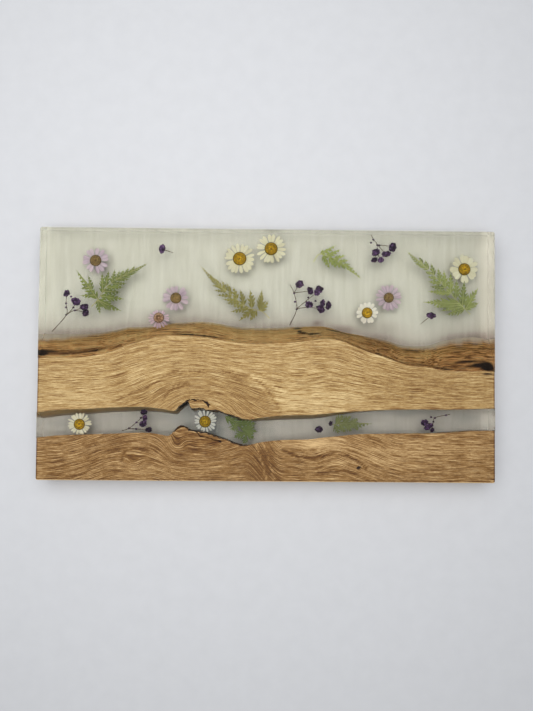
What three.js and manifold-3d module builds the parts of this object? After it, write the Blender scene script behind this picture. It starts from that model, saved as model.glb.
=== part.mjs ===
// Pressed flower board: two oak planks joined by poured clear resin, with dried daisies, fern fronds
// and dark purple blossoms sealed in the resin. Millimetres, +Z up, lying on its back.
// The origin is at the middle of the underside, +X runs along the length and +Y towards the resin field.
import * as THREE from 'three';
import { mergeVertices } from 'three/addons/utils/BufferGeometryUtils.js';
import Module from 'manifold-3d';

const wasm = await Module();
wasm.setup();

// Board
const LENGTH = 460;
const WIDTH = 254;
const THICKNESS = 26;
const EDGE_EASE = 1;
const CORNER_RADIUS = 2;
const JOINT_GAP = 0.4;
const BEYOND = 20;

// Resin pours: the top pour covers the pressed flowers, and the deeper ones lie in hollows of the base pour
const TOP_POUR = 4.5;
const POUR_LEVEL = THICKNESS - TOP_POUR;
const POUR_GAP = 0.3;
const DEEP_FLOOR = 17.5;
const POCKET_MARGIN = 1.2;
const POCKET_CORNERS = 6;

// Pressed specimens
const LIFT = 0.3;
const PETAL_THICKNESS = 0.5;
const NOTCH_SHARE = 0.85;
const PETAL_HALF_SHARE = 0.24;
const SHORTER_PETAL = 0.95;
const EYE_HEIGHT = 1.3;
const EYE_SHOULDER = [0.75, 0.8];
const EYE_SIDES = 8;
const LEAF_THICKNESS = 0.6;
const STEM_WIDTH = 1.1;
const STALK_WIDTH = 0.9;
const BLOSSOM_HEIGHT = 2.2;
const BLOSSOM_SEGMENTS = 6;
const BLOSSOM_RINGS = 3;
const LONG_LEAFLET = 19;
const ROOT_SINK = 1.2;
const PLAIN_EDGE = [[0.4, 1]];
const TOOTHED_EDGE = [[0.32, 1], [0.42, 0.5], [0.68, 0.65]];

// Natural edge of the upper plank where it meets the resin field: points [x, y] along its top line
const LIVE_EDGE = [
  [-230, -5], [-210, -5], [-190, -4], [-173, -2], [-155, 2.5], [-140, 8.5], [-129, 12], [-107, 17.5],
  [-86, 18], [-66, 17], [-49, 14.5], [-32, 12], [-8, 11], [18, 12], [43, 14.5], [59, 16.5], [73, 15],
  [86, 10], [101, 4], [120, -2], [140, -9], [160, -11], [181, -15], [201, -15], [219, -14.5], [230, -15.5],
];

// How far that edge slopes out under the resin, from the top face to the underside: [x, reach]
const LIVE_REACH = [
  [-230, 25], [-180, 24], [-150, 22], [-125, 15], [-93, 14.5], [-68, 17], [-24, 17], [40, 16], [62, 13],
  [76, 11.5], [97, 16], [121, 19.5], [165, 23], [182, 31], [208, 35], [230, 34],
];
const LIVE_MIDDLE_DEPTH = 12;
const LIVE_MIDDLE_SHARE = 0.6;

// Banks of the crack between the planks, along their top lines: [x, y]
const NORTH_BANK = [
  [-230, -59.5], [-208, -57], [-180, -55.5], [-151, -54], [-122, -53.5], [-103, -55.5], [-92, -56.7],
  [-88, -53.3], [-82, -48.5], [-79, -48], [-76.5, -53.7], [-69, -54], [-59, -56], [-48, -57], [-40, -59.7],
  [-34, -61.7], [-26, -64.3], [-18, -65.3], [-11, -64.2], [3, -62.2], [17, -60.7], [43, -60], [61, -58.6],
  [76, -57], [96, -55.5], [120, -54.3], [148, -53.6], [186, -53.5], [230, -52],
];
const SOUTH_BANK = [
  [-230, -85], [-212, -82.7], [-188, -81.6], [-150, -80], [-127, -79], [-113, -79.6], [-103, -81.4],
  [-98, -82], [-94, -78.6], [-90, -74], [-86, -71.5], [-82, -72.5], [-78, -75], [-66, -78], [-57, -80],
  [-48, -83], [-40, -85.7], [-32, -88.6], [-23, -91], [-18, -90.5], [-7, -88], [8, -86], [22, -85],
  [43, -84.4], [56, -82.6], [72, -81], [91, -79], [120, -78.3], [148, -78], [174, -77.4], [190, -76.3],
  [205, -75], [230, -74.6],
];

// The crack leans: both banks shift this far towards -Y from the top face to the underside, [x, lean]
const CRACK_LEAN = [
  [-230, 7.5], [-150, 6], [-100, 5], [-60, 2.5], [0, 3.5], [60, 3.5], [120, 2], [230, 1.5],
];

// Longest step between the stations along an edge
const EDGE_STEP = 30;

// Daisies: centre, petal and eye radius, petal count, whether they lie deep, and how much shorter the
// petals are towards the angle shortAt, in degrees from +X
const DAISIES = [
  { name: 'white_daisy_1', x: -29, y: 98, radius: 16, eye: 6.9, petals: 18, deep: true },
  { name: 'white_daisy_2', x: 3, y: 108.5, radius: 15.5, eye: 6.7, petals: 18, deep: true },
  { name: 'white_daisy_3', x: 101, y: 43.5, radius: 11, eye: 5.5, petals: 15 },
  { name: 'white_daisy_4', x: 201, y: 89.5, radius: 14.5, eye: 6.3, petals: 16, deep: true },
  { name: 'white_daisy_5', x: -188, y: -71.5, radius: 11.6, eye: 5.8, petals: 16, short: 0.14, shortAt: -90 },
  { name: 'white_daisy_6', x: -62, y: -67.8, radius: 11.6, eye: 6, petals: 18, short: 0.16, shortAt: -125 },
  { name: 'lilac_daisy_1', x: -175.5, y: 94.5, radius: 13.5, eye: 5.8, petals: 13, deep: true },
  { name: 'lilac_daisy_2', x: -93.5, y: 57, radius: 13.5, eye: 5.6, petals: 13, deep: true },
  { name: 'lilac_daisy_3', x: -110, y: 36.5, radius: 11.5, eye: 5.3, petals: 17, short: 0.34, shortAt: 90 },
  { name: 'lilac_daisy_4', x: 123.5, y: 59.5, radius: 13.8, eye: 5.2, petals: 15, deep: true },
];

// Fern fronds: the stem's points, then each leaflet as [root x, root y, tip x, tip y, half width]
const FERNS = [
  {
    name: 'fern_frond_1',
    stem: [[-178, 47], [-172, 54], [-164, 66], [-152, 76], [-123, 91]],
    leaflets: [
      [-154, 74, -121, 92, 3.2], [-167, 61, -168, 82, 3], [-164, 68, -161, 84, 3],
      [-158, 71, -155, 85, 2.6], [-154, 74, -150, 84, 2.2], [-150, 76, -146, 85, 2],
      [-145, 79, -141, 87, 1.8], [-139, 82, -135, 89, 1.5], [-147, 79, -139, 79, 1.7],
      [-152, 76, -140, 75, 2], [-158, 71, -143, 71, 2.6], [-163, 67, -146, 67, 2.8],
      [-166, 63, -149, 62, 3.2], [-169, 58, -145, 55, 3.6], [-172, 54, -148, 43, 4],
      [-172, 54, -159, 43, 3], [-172, 55, -194, 84, 3.6], [-178, 64, -182, 79, 2.4],
      [-180, 67, -189, 65, 2], [-174, 59, -190, 58, 2.4], [-172, 54, -169, 39, 2.4],
    ],
  },
  {
    name: 'fern_frond_2',
    stem: [[2, 37], [-6, 44], [-21, 48], [-37, 60], [-55, 74], [-68, 89]],
    leaflets: [
      [-42, 64, -69, 90, 3], [-55, 74, -58, 81, 1.6], [-50, 70, -53, 77, 1.8], [-42, 64, -47, 75, 2.2],
      [-37, 60, -42, 73, 2.4], [-31, 56, -35, 69, 2.6], [-24, 50, -28, 66, 3.6], [-16, 47, -18, 66, 4],
      [-7, 44, -6, 66, 4.6], [-7, 44, 1, 55, 3], [-48, 69, -57, 70, 1.6], [-42, 64, -55, 65, 1.8],
      [-36, 59, -52, 60, 2.2], [-31, 55, -46, 56, 2.4], [-28, 53, -42, 52, 2.4], [-24, 50, -36, 49, 2.4],
      [-19, 48, -38, 43, 3], [-14, 46, -29, 34, 3.6], [-11, 45, -18, 34, 3],
    ],
  },
  {
    name: 'fern_frond_3',
    stem: [[46, 95], [53, 103], [68, 98], [80, 90], [93, 79]],
    leaflets: [
      [76, 93, 95, 78, 2.4], [53, 103, 69, 112, 2.8], [59, 101, 74, 108, 3], [67, 98, 79, 102, 2.6],
      [72, 95, 82, 97, 2.2], [77, 92, 84, 93, 1.8], [56, 102, 63, 88, 3], [62, 100, 70, 88, 3],
      [67, 98, 74, 88, 2.6], [72, 95, 79, 87, 2.2],
    ],
  },
  {
    name: 'fern_frond_4',
    stem: [[206, 43], [199, 50], [185, 65], [171, 80], [155, 96], [142, 106]],
    leaflets: [
      [163, 88, 141, 107, 2.6], [157, 94, 154, 101, 1.6], [163, 88, 160, 98, 2], [169, 82, 166, 95, 2.2],
      [176, 75, 173, 90, 2.4], [181, 70, 179, 88, 2.6], [186, 64, 186, 86, 3], [191, 59, 192, 78, 3.4],
      [198, 51, 200, 77, 4], [167, 84, 160, 86, 1.6], [172, 79, 162, 81, 1.8], [176, 74, 163, 76, 2.2],
      [180, 70, 165, 71, 2.4], [186, 64, 163, 66, 2.8], [195, 54, 158, 55, 3.4], [197, 52, 169, 50, 3],
      [199, 51, 175, 46, 3], [200, 49, 181, 42, 3], [201, 48, 214, 70, 4], [201, 48, 215, 55, 3],
    ],
  },
  {
    name: 'fern_frond_5',
    deep: true,
    stem: [[-42, -63], [-31, -70], [-22, -79], [-20.5, -88]],
    leaflets: [
      [-42, -63, -26, -73, 3], [-31, -70, -34, -77, 3], [-31, -70, -10, -70, 3.2], [-26, -75, -9, -78, 3.4],
      [-22, -79, -33, -84, 2.6], [-23, -78, -12, -85, 2.8], [-21, -82, -23, -90, 2.2],
    ],
  },
  {
    name: 'fern_frond_6',
    deep: true,
    stem: [[66, -70], [85, -69], [105, -69]],
    leaflets: [
      [76, -69, 107, -69, 3], [70, -70, 78, -60, 3.4], [77, -69, 86, -61, 3.2], [85, -69, 93, -64, 2.6],
      [69, -70, 73, -79, 3.2], [74, -69, 80, -78, 3], [80, -69, 86, -77, 3], [87, -69, 93, -76, 2.6],
    ],
  },
];

// Purple sprigs and single blossoms: stalks as lists of points, and blossoms as
// [x, y, half length, half width, turn in degrees]
const SPRIGS = [
  {
    name: 'purple_sprig_1',
    stalks: [
      [[-217, 21.5], [-203, 38.5], [-203.5, 50], [-203, 59]], [[-203, 38.5], [-196.5, 45], [-194, 51]],
      [[-203, 38.5], [-194.5, 43], [-184, 41]], [[-194.5, 43], [-186, 46]],
    ],
    blossoms: [
      [-203, 60, 3.6, 2.8, 60], [-193.5, 52, 4.6, 3.6, -40], [-185, 46.5, 4, 3, 10],
      [-183.5, 40.5, 3.6, 3, 80],
    ],
  },
  {
    name: 'purple_sprig_2',
    stalks: [
      [[22.5, 30], [29.5, 47], [26.5, 63], [22.5, 71.5]], [[29.5, 47], [39, 55], [49, 63]],
      [[26.5, 63], [42, 65]], [[26.5, 63], [31.5, 71]], [[49, 63], [52, 66.5]], [[39, 55], [41.5, 52]],
      [[29.5, 47], [42, 48.5], [54, 46.5]], [[54, 46.5], [55.5, 52]], [[54, 46.5], [61, 50]],
    ],
    blossoms: [
      [32, 72, 4.1, 3.6, 20], [43, 65.5, 3.9, 2.8, 105], [52, 67, 4, 3.4, 0],
      [50, 63.5, 3.2, 3, 60], [42, 51, 3.7, 3.2, 20], [55.5, 52.5, 3.8, 2.6, 75],
      [54, 46.5, 4.1, 3.4, 110], [61.5, 50.5, 4.1, 2.6, 85],
    ],
  },
  {
    name: 'purple_sprig_3',
    stalks: [
      [[104.5, 123.5], [107, 118.5], [111, 113], [110, 106]], [[111, 113], [119, 104.5]],
      [[111, 113], [125, 111.5]], [[110, 106], [108.5, 98.5]], [[110, 106], [114, 98.5]],
    ],
    blossoms: [
      [126.5, 110.5, 4.6, 3.8, 75], [109.5, 105, 4, 3.3, 40], [120, 103.5, 4.4, 3, 10],
      [108, 97.5, 3.4, 2.4, 30], [114.5, 97.5, 3, 2.6, 20],
    ],
  },
  {
    name: 'purple_sprig_4',
    deep: true,
    stalks: [
      [[-146, -78], [-139, -75.5], [-131.5, -69.5], [-126.5, -64.5], [-124, -59.5]],
      [[-126.5, -64.5], [-123, -65]], [[-131.5, -69.5], [-125, -70.5]],
      [[-139, -75.5], [-131, -76], [-119.5, -76.5]],
    ],
    blossoms: [
      [-124, -59, 3.4, 2.8, 10], [-123, -65, 3.2, 2.3, 80], [-124.5, -70.5, 3.6, 3.1, 50],
      [-119, -76.5, 3.2, 2.3, 10],
    ],
  },
  {
    name: 'purple_sprig_5',
    stalks: [
      [[185, -58.5], [170, -62], [168, -68], [166.5, -74]],
      [[168, -68], [160, -67]], [[168, -68], [162.5, -72]],
    ],
    blossoms: [
      [159.5, -67, 3.4, 3, 20], [164.5, -70, 3.4, 2.4, 15], [162, -72.5, 3, 2.2, 0],
      [167, -74.5, 2.3, 1.9, 30],
    ],
  },
  {
    name: 'purple_blossom_1',
    stalks: [[[-107, 106], [-96, 102.5]]],
    blossoms: [[-107.5, 106.5, 4.6, 3, 75]],
  },
  {
    name: 'purple_blossom_2',
    stalks: [[[166, 41.5], [155, 32.5]]],
    blossoms: [[166, 41.5, 4.6, 3.2, -10]],
  },
  { name: 'purple_blossom_3', stalks: [], blossoms: [[52.5, -74.5, 4.1, 3, 0]] },
  { name: 'purple_blossom_4', stalks: [], blossoms: [[64.5, -68.5, 2.5, 2, 60]] },
];

// Colours seen in the photo
const OAK = new THREE.MeshStandardMaterial({ color: '#c39a63', roughness: 0.55, metalness: 0 });
const DARK_OAK = new THREE.MeshStandardMaterial({ color: '#ad8350', roughness: 0.55, metalness: 0 });
const RESIN = new THREE.MeshStandardMaterial({
  color: '#dfe0d0', roughness: 0.15, metalness: 0, transparent: true, opacity: 0.35,
});
const WHITE_PETAL = new THREE.MeshStandardMaterial({ color: '#e6e4d0', roughness: 0.7, metalness: 0 });
const YELLOW_EYE = new THREE.MeshStandardMaterial({ color: '#b98718', roughness: 0.85, metalness: 0 });
const LILAC_PETAL = new THREE.MeshStandardMaterial({ color: '#c4b0bf', roughness: 0.7, metalness: 0 });
const BROWN_EYE = new THREE.MeshStandardMaterial({ color: '#97794a', roughness: 0.85, metalness: 0 });
const FERN_GREEN = new THREE.MeshStandardMaterial({ color: '#7f8c4a', roughness: 0.7, metalness: 0 });
const DARK_PURPLE = new THREE.MeshStandardMaterial({ color: '#3f2d4a', roughness: 0.8, metalness: 0 });

// A closed geometry as a solid that can be joined and cut
function solidOf(geometry) {
  const bare = geometry.clone();
  bare.deleteAttribute('normal');
  bare.deleteAttribute('uv');
  const merged = mergeVertices(bare);
  return new wasm.Manifold(new wasm.Mesh({
    numProp: 3,
    vertProperties: Float32Array.from(merged.attributes.position.array),
    triVerts: Uint32Array.from(merged.index.array),
  }));
}

function geometryOf(solid) {
  const mesh = solid.getMesh();
  const geometry = new THREE.BufferGeometry();
  geometry.setAttribute('position', new THREE.BufferAttribute(mesh.vertProperties, 3));
  geometry.setIndex(new THREE.BufferAttribute(mesh.triVerts, 1));
  geometry.computeVertexNormals();
  return geometry;
}

function joined(geometries) {
  return geometries.map(solidOf).reduce((whole, piece) => whole.add(piece));
}

function prism(points, low, high) {
  const outline = new THREE.Shape(points.map(([x, y]) => new THREE.Vector2(x, y)));
  const geometry = new THREE.ExtrudeGeometry(outline, { depth: high - low, bevelEnabled: false });
  return geometry.translate(0, 0, low);
}

// A flat layer of the whole board between two levels
function layer(low, high) {
  const block = new THREE.BoxGeometry(2 * LENGTH, 2 * WIDTH, high - low);
  return solidOf(block.translate(0, 0, (low + high) / 2));
}

// A smooth line through [x, value] points, as a function of x
function smoothLine(points) {
  const line = new THREE.CubicInterpolant(points.map(([x]) => x), points.map(([, value]) => value), 1);
  return (x) => line.evaluate(x)[0];
}

// Stations along a line: its own points, with more between those that are far apart
function stationsOf(points) {
  const stations = [points[0][0] - BEYOND];
  for (let i = 0; i < points.length - 1; i += 1) {
    const start = points[i][0];
    const span = points[i + 1][0] - start;
    const steps = Math.ceil(span / EDGE_STEP);
    for (let step = 0; step < steps; step += 1) {
      stations.push(start + (span * step) / steps);
    }
  }
  stations.push(points.at(-1)[0], points.at(-1)[0] + BEYOND);
  return stations;
}

// The solid on one side of a wavy wall. The wall is y = wallAt(x, depth below the top face), and the
// solid runs from it to farY at the given depths.
function sideOf(wallAt, stations, depths, farY) {
  const rings = stations.map((x) => {
    const wall = depths.map((depth) => [x, wallAt(x, depth), THICKNESS - depth]);
    const back = [[x, farY, THICKNESS - depths.at(-1)], [x, farY, THICKNESS - depths[0]]];
    return [...wall, ...back];
  });
  const size = rings[0].length;
  const index = [];
  for (let i = 0; i < rings.length - 1; i += 1) {
    for (let j = 0; j < size; j += 1) {
      const next = (j + 1) % size;
      const [a, b, c, d] = [i * size + j, i * size + next, (i + 1) * size + next, (i + 1) * size + j];
      index.push(a, b, c, a, c, d);
    }
  }
  const last = (rings.length - 1) * size;
  for (let j = 1; j < size - 1; j += 1) {
    index.push(0, j + 1, j);
    index.push(last, last + j, last + j + 1);
  }
  const facing = farY > 0 ? index : index.reverse();
  const geometry = new THREE.BufferGeometry();
  geometry.setAttribute('position', new THREE.Float32BufferAttribute(rings.flat(2), 3));
  geometry.setIndex(facing);
  return solidOf(geometry);
}

// Walls between wood and resin
const liveTop = smoothLine(LIVE_EDGE);
const liveReach = smoothLine(LIVE_REACH);
const northTop = smoothLine(NORTH_BANK);
const southTop = smoothLine(SOUTH_BANK);
const crackLean = smoothLine(CRACK_LEAN);

function liveShare(depth) {
  if (depth < LIVE_MIDDLE_DEPTH) {
    return (LIVE_MIDDLE_SHARE * depth) / LIVE_MIDDLE_DEPTH;
  }
  const below = (depth - LIVE_MIDDLE_DEPTH) / (THICKNESS - LIVE_MIDDLE_DEPTH);
  return LIVE_MIDDLE_SHARE + (1 - LIVE_MIDDLE_SHARE) * below;
}

const liveWall = (x, depth) => liveTop(x) + liveReach(x) * liveShare(depth);
const northWall = (x, depth) => northTop(x) - (crackLean(x) * depth) / THICKNESS;
const southWall = (x, depth) => southTop(x) - (crackLean(x) * depth) / THICKNESS;

const OVER = -1;
const UNDER = THICKNESS + 1;
const BANK_DEPTHS = [OVER, UNDER];
const LIVE_DEPTHS = [OVER, LIVE_MIDDLE_DEPTH, UNDER];
const FAR = WIDTH;

// Everything on the -Y side of a wall, or on its +Y side, moved by half of the joint gap
function southOf(wallAt, points, depths) {
  return sideOf((x, depth) => wallAt(x, depth) - JOINT_GAP / 2, stationsOf(points), depths, -FAR);
}

function northOf(wallAt, points, depths) {
  return sideOf((x, depth) => wallAt(x, depth) + JOINT_GAP / 2, stationsOf(points), depths, FAR);
}

// The whole board: a flat block with eased edges and slightly rounded corners
function boardBlank() {
  const halfLength = LENGTH / 2 - EDGE_EASE;
  const halfWidth = WIDTH / 2 - EDGE_EASE;
  const radius = CORNER_RADIUS - EDGE_EASE;
  const outline = new THREE.Shape();
  outline.absarc(halfLength - radius, halfWidth - radius, radius, 0, Math.PI / 2);
  outline.absarc(radius - halfLength, halfWidth - radius, radius, Math.PI / 2, Math.PI);
  outline.absarc(radius - halfLength, radius - halfWidth, radius, Math.PI, 1.5 * Math.PI);
  outline.absarc(halfLength - radius, radius - halfWidth, radius, 1.5 * Math.PI, 2 * Math.PI);
  const geometry = new THREE.ExtrudeGeometry(outline, {
    depth: THICKNESS - 2 * EDGE_EASE,
    bevelThickness: EDGE_EASE,
    bevelSize: EDGE_EASE,
    bevelSegments: 1,
    curveSegments: 3,
  });
  return solidOf(geometry.translate(0, 0, EDGE_EASE));
}

// Lowest level of a specimen: on the base pour, or on the floor of its hollow
function floorOf(specimen) {
  return (specimen.deep ? DEEP_FLOOR : POUR_LEVEL + POUR_GAP / 2) + LIFT;
}

// The petals of a daisy as one flat rosette around its centre, each petal with a notch and a blunt end
function petalRosette({ radius, eye, petals, short = 0, shortAt = 0 }) {
  const step = (2 * Math.PI) / petals;
  const notch = eye * NOTCH_SHARE;
  const points = [];
  for (let i = 0; i < petals; i += 1) {
    const angle = i * step;
    const towards = Math.max(0, Math.cos(angle - THREE.MathUtils.degToRad(shortAt)));
    const reach = radius * (1 - short * towards) * (i % 3 === 0 ? SHORTER_PETAL : 1);
    for (const [turn, distance] of [[-0.5, notch], [-PETAL_HALF_SHARE, reach], [PETAL_HALF_SHARE, reach]]) {
      const at = angle + turn * step;
      points.push([distance * Math.cos(at), distance * Math.sin(at)]);
    }
  }
  return prism(points, 0, PETAL_THICKNESS);
}

// The domed eye of a daisy, flat underneath
function daisyEye(radius) {
  const [shoulder, rise] = EYE_SHOULDER;
  const profile = [[0, 0], [radius, 0], [radius * shoulder, EYE_HEIGHT * rise], [0, EYE_HEIGHT]];
  const dome = new THREE.LatheGeometry(profile.map(([x, y]) => new THREE.Vector2(x, y)), EYE_SIDES);
  return dome.rotateX(Math.PI / 2);
}

// A leaflet's outline from root to tip: a lance with a toothed edge, or a plain one where it is short
function leafletOutline([rootX, rootY, tipX, tipY, halfWidth]) {
  const tip = new THREE.Vector2(tipX, tipY);
  const seen = tip.clone().sub(new THREE.Vector2(rootX, rootY));
  const along = seen.clone().setLength(seen.length() + ROOT_SINK);
  const root = tip.clone().sub(along);
  const across = new THREE.Vector2(-along.y, along.x).normalize();
  const edge = along.length() < LONG_LEAFLET ? PLAIN_EDGE : TOOTHED_EDGE;
  const place = (share, width) => root.clone()
    .addScaledVector(along, share)
    .addScaledVector(across, width * halfWidth);
  const right = edge.map(([share, width]) => place(share, -width));
  const left = edge.map(([share, width]) => place(share, width)).reverse();
  return [root, ...right, tip, ...left].map(({ x, y }) => [x, y]);
}

// The outline of a flat stalk of even width along a line of points
function stalkOutline(points, width) {
  const spots = points.map(([x, y]) => new THREE.Vector2(x, y));
  const side = spots.map((spot, i) => {
    const along = (spots[i + 1] ?? spot).clone().sub(spots[i - 1] ?? spot).normalize();
    return new THREE.Vector2(-along.y, along.x).multiplyScalar(width / 2);
  });
  const right = spots.map((spot, i) => spot.clone().sub(side[i]));
  const left = spots.map((spot, i) => spot.clone().add(side[i])).reverse();
  return [...right, ...left].map(({ x, y }) => [x, y]);
}

// A fern frond: its leaflets and its stem grown together
function fernFrond(fern) {
  const low = floorOf(fern);
  const outlines = [...fern.leaflets.map(leafletOutline), stalkOutline(fern.stem, STEM_WIDTH)];
  const grown = joined(outlines.map((outline) => prism(outline, 0, THICKNESS)));
  return geometryOf(grown.intersect(layer(low, low + LEAF_THICKNESS)));
}

// A dried blossom: a flattened lump
function blossom([x, y, halfLength, halfWidth, turn], level) {
  const lump = new THREE.SphereGeometry(1, BLOSSOM_SEGMENTS, BLOSSOM_RINGS);
  lump.rotateX(Math.PI / 2).scale(halfLength, halfWidth, BLOSSOM_HEIGHT / 2);
  return lump.rotateZ(THREE.MathUtils.degToRad(turn)).translate(x, y, level);
}

function purpleSprig(sprig) {
  const level = floorOf(sprig) + BLOSSOM_HEIGHT / 2;
  const half = STALK_WIDTH / 2;
  const outlines = sprig.stalks.map((points) => stalkOutline(points, STALK_WIDTH));
  const stalks = outlines.map((outline) => prism(outline, level - half, level + half));
  const blossoms = sprig.blossoms.map((place) => blossom(place, level));
  return geometryOf(joined([...blossoms, ...stalks]));
}

// The smallest outline without hollows around a set of points
function outlineAround(points) {
  const sorted = [...points].sort((a, b) => a[0] - b[0] || a[1] - b[1]);
  const halfOutline = (list) => {
    const chain = [];
    for (const [x, y] of list) {
      while (chain.length > 1) {
        const [[ax, ay], [bx, by]] = chain.slice(-2);
        if ((bx - ax) * (y - ay) - (by - ay) * (x - ax) > 0) {
          break;
        }
        chain.pop();
      }
      chain.push([x, y]);
    }
    return chain.slice(0, -1);
  };
  return [...halfOutline(sorted), ...halfOutline(sorted.reverse())];
}

// The room that a specimen takes in the resin: an upright hollow around its circles [x, y, radius]
function pocket(circles, low, high) {
  const points = circles.flatMap(([x, y, radius]) => Array.from({ length: POCKET_CORNERS }, (_, i) => {
    const angle = (i * 2 * Math.PI) / POCKET_CORNERS;
    const reach = (radius + POCKET_MARGIN) / Math.cos(Math.PI / POCKET_CORNERS);
    return [x + reach * Math.cos(angle), y + reach * Math.sin(angle)];
  }));
  return solidOf(prism(outlineAround(points), low, high));
}

function circlesOf(specimen) {
  if (specimen.petals) {
    return [[specimen.x, specimen.y, specimen.radius]];
  }
  if (specimen.leaflets) {
    const tips = specimen.leaflets.map(([, , x, y]) => [x, y, 0]);
    const roots = specimen.leaflets.map(([x, y, , , halfWidth]) => [x, y, halfWidth]);
    return [...tips, ...roots, ...specimen.stem.map(([x, y]) => [x, y, 0])];
  }
  const ends = specimen.stalks.flat().map(([x, y]) => [x, y, 0]);
  return [...specimen.blossoms.map(([x, y, halfLength]) => [x, y, halfLength]), ...ends];
}

function heightOf(specimen) {
  if (specimen.petals) {
    return PETAL_THICKNESS + LIFT + EYE_HEIGHT;
  }
  return specimen.leaflets ? LEAF_THICKNESS : BLOSSOM_HEIGHT;
}

const SPECIMENS = [...DAISIES, ...FERNS, ...SPRIGS];

// A poured body of resin, parted at the level of the base pour, with a hollow for each specimen
function pours(body) {
  let base = body.intersect(layer(-BEYOND, POUR_LEVEL - POUR_GAP / 2));
  let top = body.intersect(layer(POUR_LEVEL + POUR_GAP / 2, THICKNESS + BEYOND));
  for (const specimen of SPECIMENS) {
    if (specimen.deep) {
      base = base.subtract(pocket(circlesOf(specimen), DEEP_FLOOR, THICKNESS));
    } else {
      top = top.subtract(pocket(circlesOf(specimen), 0, floorOf(specimen) + heightOf(specimen) + LIFT));
    }
  }
  return { base, top };
}

const board = new THREE.Group();

function add(name, geometry, material) {
  const mesh = new THREE.Mesh(geometry, material);
  mesh.name = name;
  board.add(mesh);
  return mesh;
}

// Planks and resin
const blank = boardBlank();
const southOfLive = southOf(liveWall, LIVE_EDGE, LIVE_DEPTHS);
const northOfLive = northOf(liveWall, LIVE_EDGE, LIVE_DEPTHS);
const southOfNorthBank = southOf(northWall, NORTH_BANK, BANK_DEPTHS);
const northOfNorthBank = northOf(northWall, NORTH_BANK, BANK_DEPTHS);
const southOfSouthBank = southOf(southWall, SOUTH_BANK, BANK_DEPTHS);
const northOfSouthBank = northOf(southWall, SOUTH_BANK, BANK_DEPTHS);

add('oak_plank_upper', geometryOf(blank.intersect(southOfLive).intersect(northOfNorthBank)), OAK);
add('oak_plank_lower', geometryOf(blank.intersect(southOfSouthBank)), DARK_OAK);

const field = pours(blank.intersect(northOfLive));
add('field_resin_base', geometryOf(field.base), RESIN);
add('field_resin_top', geometryOf(field.top), RESIN);

const river = pours(blank.intersect(northOfSouthBank).intersect(southOfNorthBank));
add('river_resin_base', geometryOf(river.base), RESIN);
add('river_resin_top', geometryOf(river.top), RESIN);

// Specimens
for (const daisy of DAISIES) {
  const white = daisy.name.startsWith('white');
  const low = floorOf(daisy);
  const petals = add(`${daisy.name}_petals`, petalRosette(daisy), white ? WHITE_PETAL : LILAC_PETAL);
  petals.position.set(daisy.x, daisy.y, low);
  const eye = add(`${daisy.name}_eye`, daisyEye(daisy.eye), white ? YELLOW_EYE : BROWN_EYE);
  eye.position.set(daisy.x, daisy.y, low + PETAL_THICKNESS + LIFT);
}

for (const fern of FERNS) {
  add(fern.name, fernFrond(fern), FERN_GREEN);
}

for (const sprig of SPRIGS) {
  add(sprig.name, purpleSprig(sprig), DARK_PURPLE);
}

export default board;
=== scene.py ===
"""Looks of a pressed flower board: two oak planks joined by poured clear resin, with dried daisies, fern
fronds and dark purple blossoms sealed in the resin. It lies on a pale floor and is seen from above."""
import math
import random

import bmesh
import bpy
import numpy as np
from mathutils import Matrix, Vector, noise


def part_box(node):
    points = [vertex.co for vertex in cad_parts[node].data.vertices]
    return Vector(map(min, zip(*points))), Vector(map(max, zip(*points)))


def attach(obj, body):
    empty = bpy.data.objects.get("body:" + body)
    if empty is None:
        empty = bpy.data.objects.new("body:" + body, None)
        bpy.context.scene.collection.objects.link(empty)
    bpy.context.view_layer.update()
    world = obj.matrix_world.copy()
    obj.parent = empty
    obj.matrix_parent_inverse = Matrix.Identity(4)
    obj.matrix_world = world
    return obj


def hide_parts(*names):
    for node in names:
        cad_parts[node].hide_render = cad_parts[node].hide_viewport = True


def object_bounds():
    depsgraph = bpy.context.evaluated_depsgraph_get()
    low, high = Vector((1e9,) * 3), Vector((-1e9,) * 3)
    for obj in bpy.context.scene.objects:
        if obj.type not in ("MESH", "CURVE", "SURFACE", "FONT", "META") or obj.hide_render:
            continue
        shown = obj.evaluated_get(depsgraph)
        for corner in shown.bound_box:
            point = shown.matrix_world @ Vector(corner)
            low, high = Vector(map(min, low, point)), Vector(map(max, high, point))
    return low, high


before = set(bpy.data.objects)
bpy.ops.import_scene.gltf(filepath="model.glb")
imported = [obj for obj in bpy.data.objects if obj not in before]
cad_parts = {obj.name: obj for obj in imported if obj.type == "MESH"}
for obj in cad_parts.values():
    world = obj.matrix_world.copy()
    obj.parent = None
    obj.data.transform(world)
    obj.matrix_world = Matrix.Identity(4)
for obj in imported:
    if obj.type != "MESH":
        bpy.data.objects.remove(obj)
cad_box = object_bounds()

# Sizes are in millimetres until a mesh is made
MM = 0.001
HALF_LENGTH = cad_box[1].x / MM
HALF_WIDTH = cad_box[1].y / MM
THICKNESS = cad_box[1].z / MM
EDGE_EASE = 1.0
CORNER_RADIUS = 2.0
RESIN_EASE = 0.12
WOOD_INSET = 0.03
RESIN_SINK, RESIN_TOP_SINK, RESIN_SINK_SLOPE = 1.1, 0.06, 0.5
FLOOR_DROP = 0.1

# Camera, fitted to the board's corners in the photo
IMAGE_HEIGHT = 711
FOCAL_PIXELS = 520
SENSOR_HEIGHT = 36
CAMERA_PLACE = (-5.3, -14.6, 548.9)
CAMERA_TURN = (1.51, -0.51, 0.51)

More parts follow.
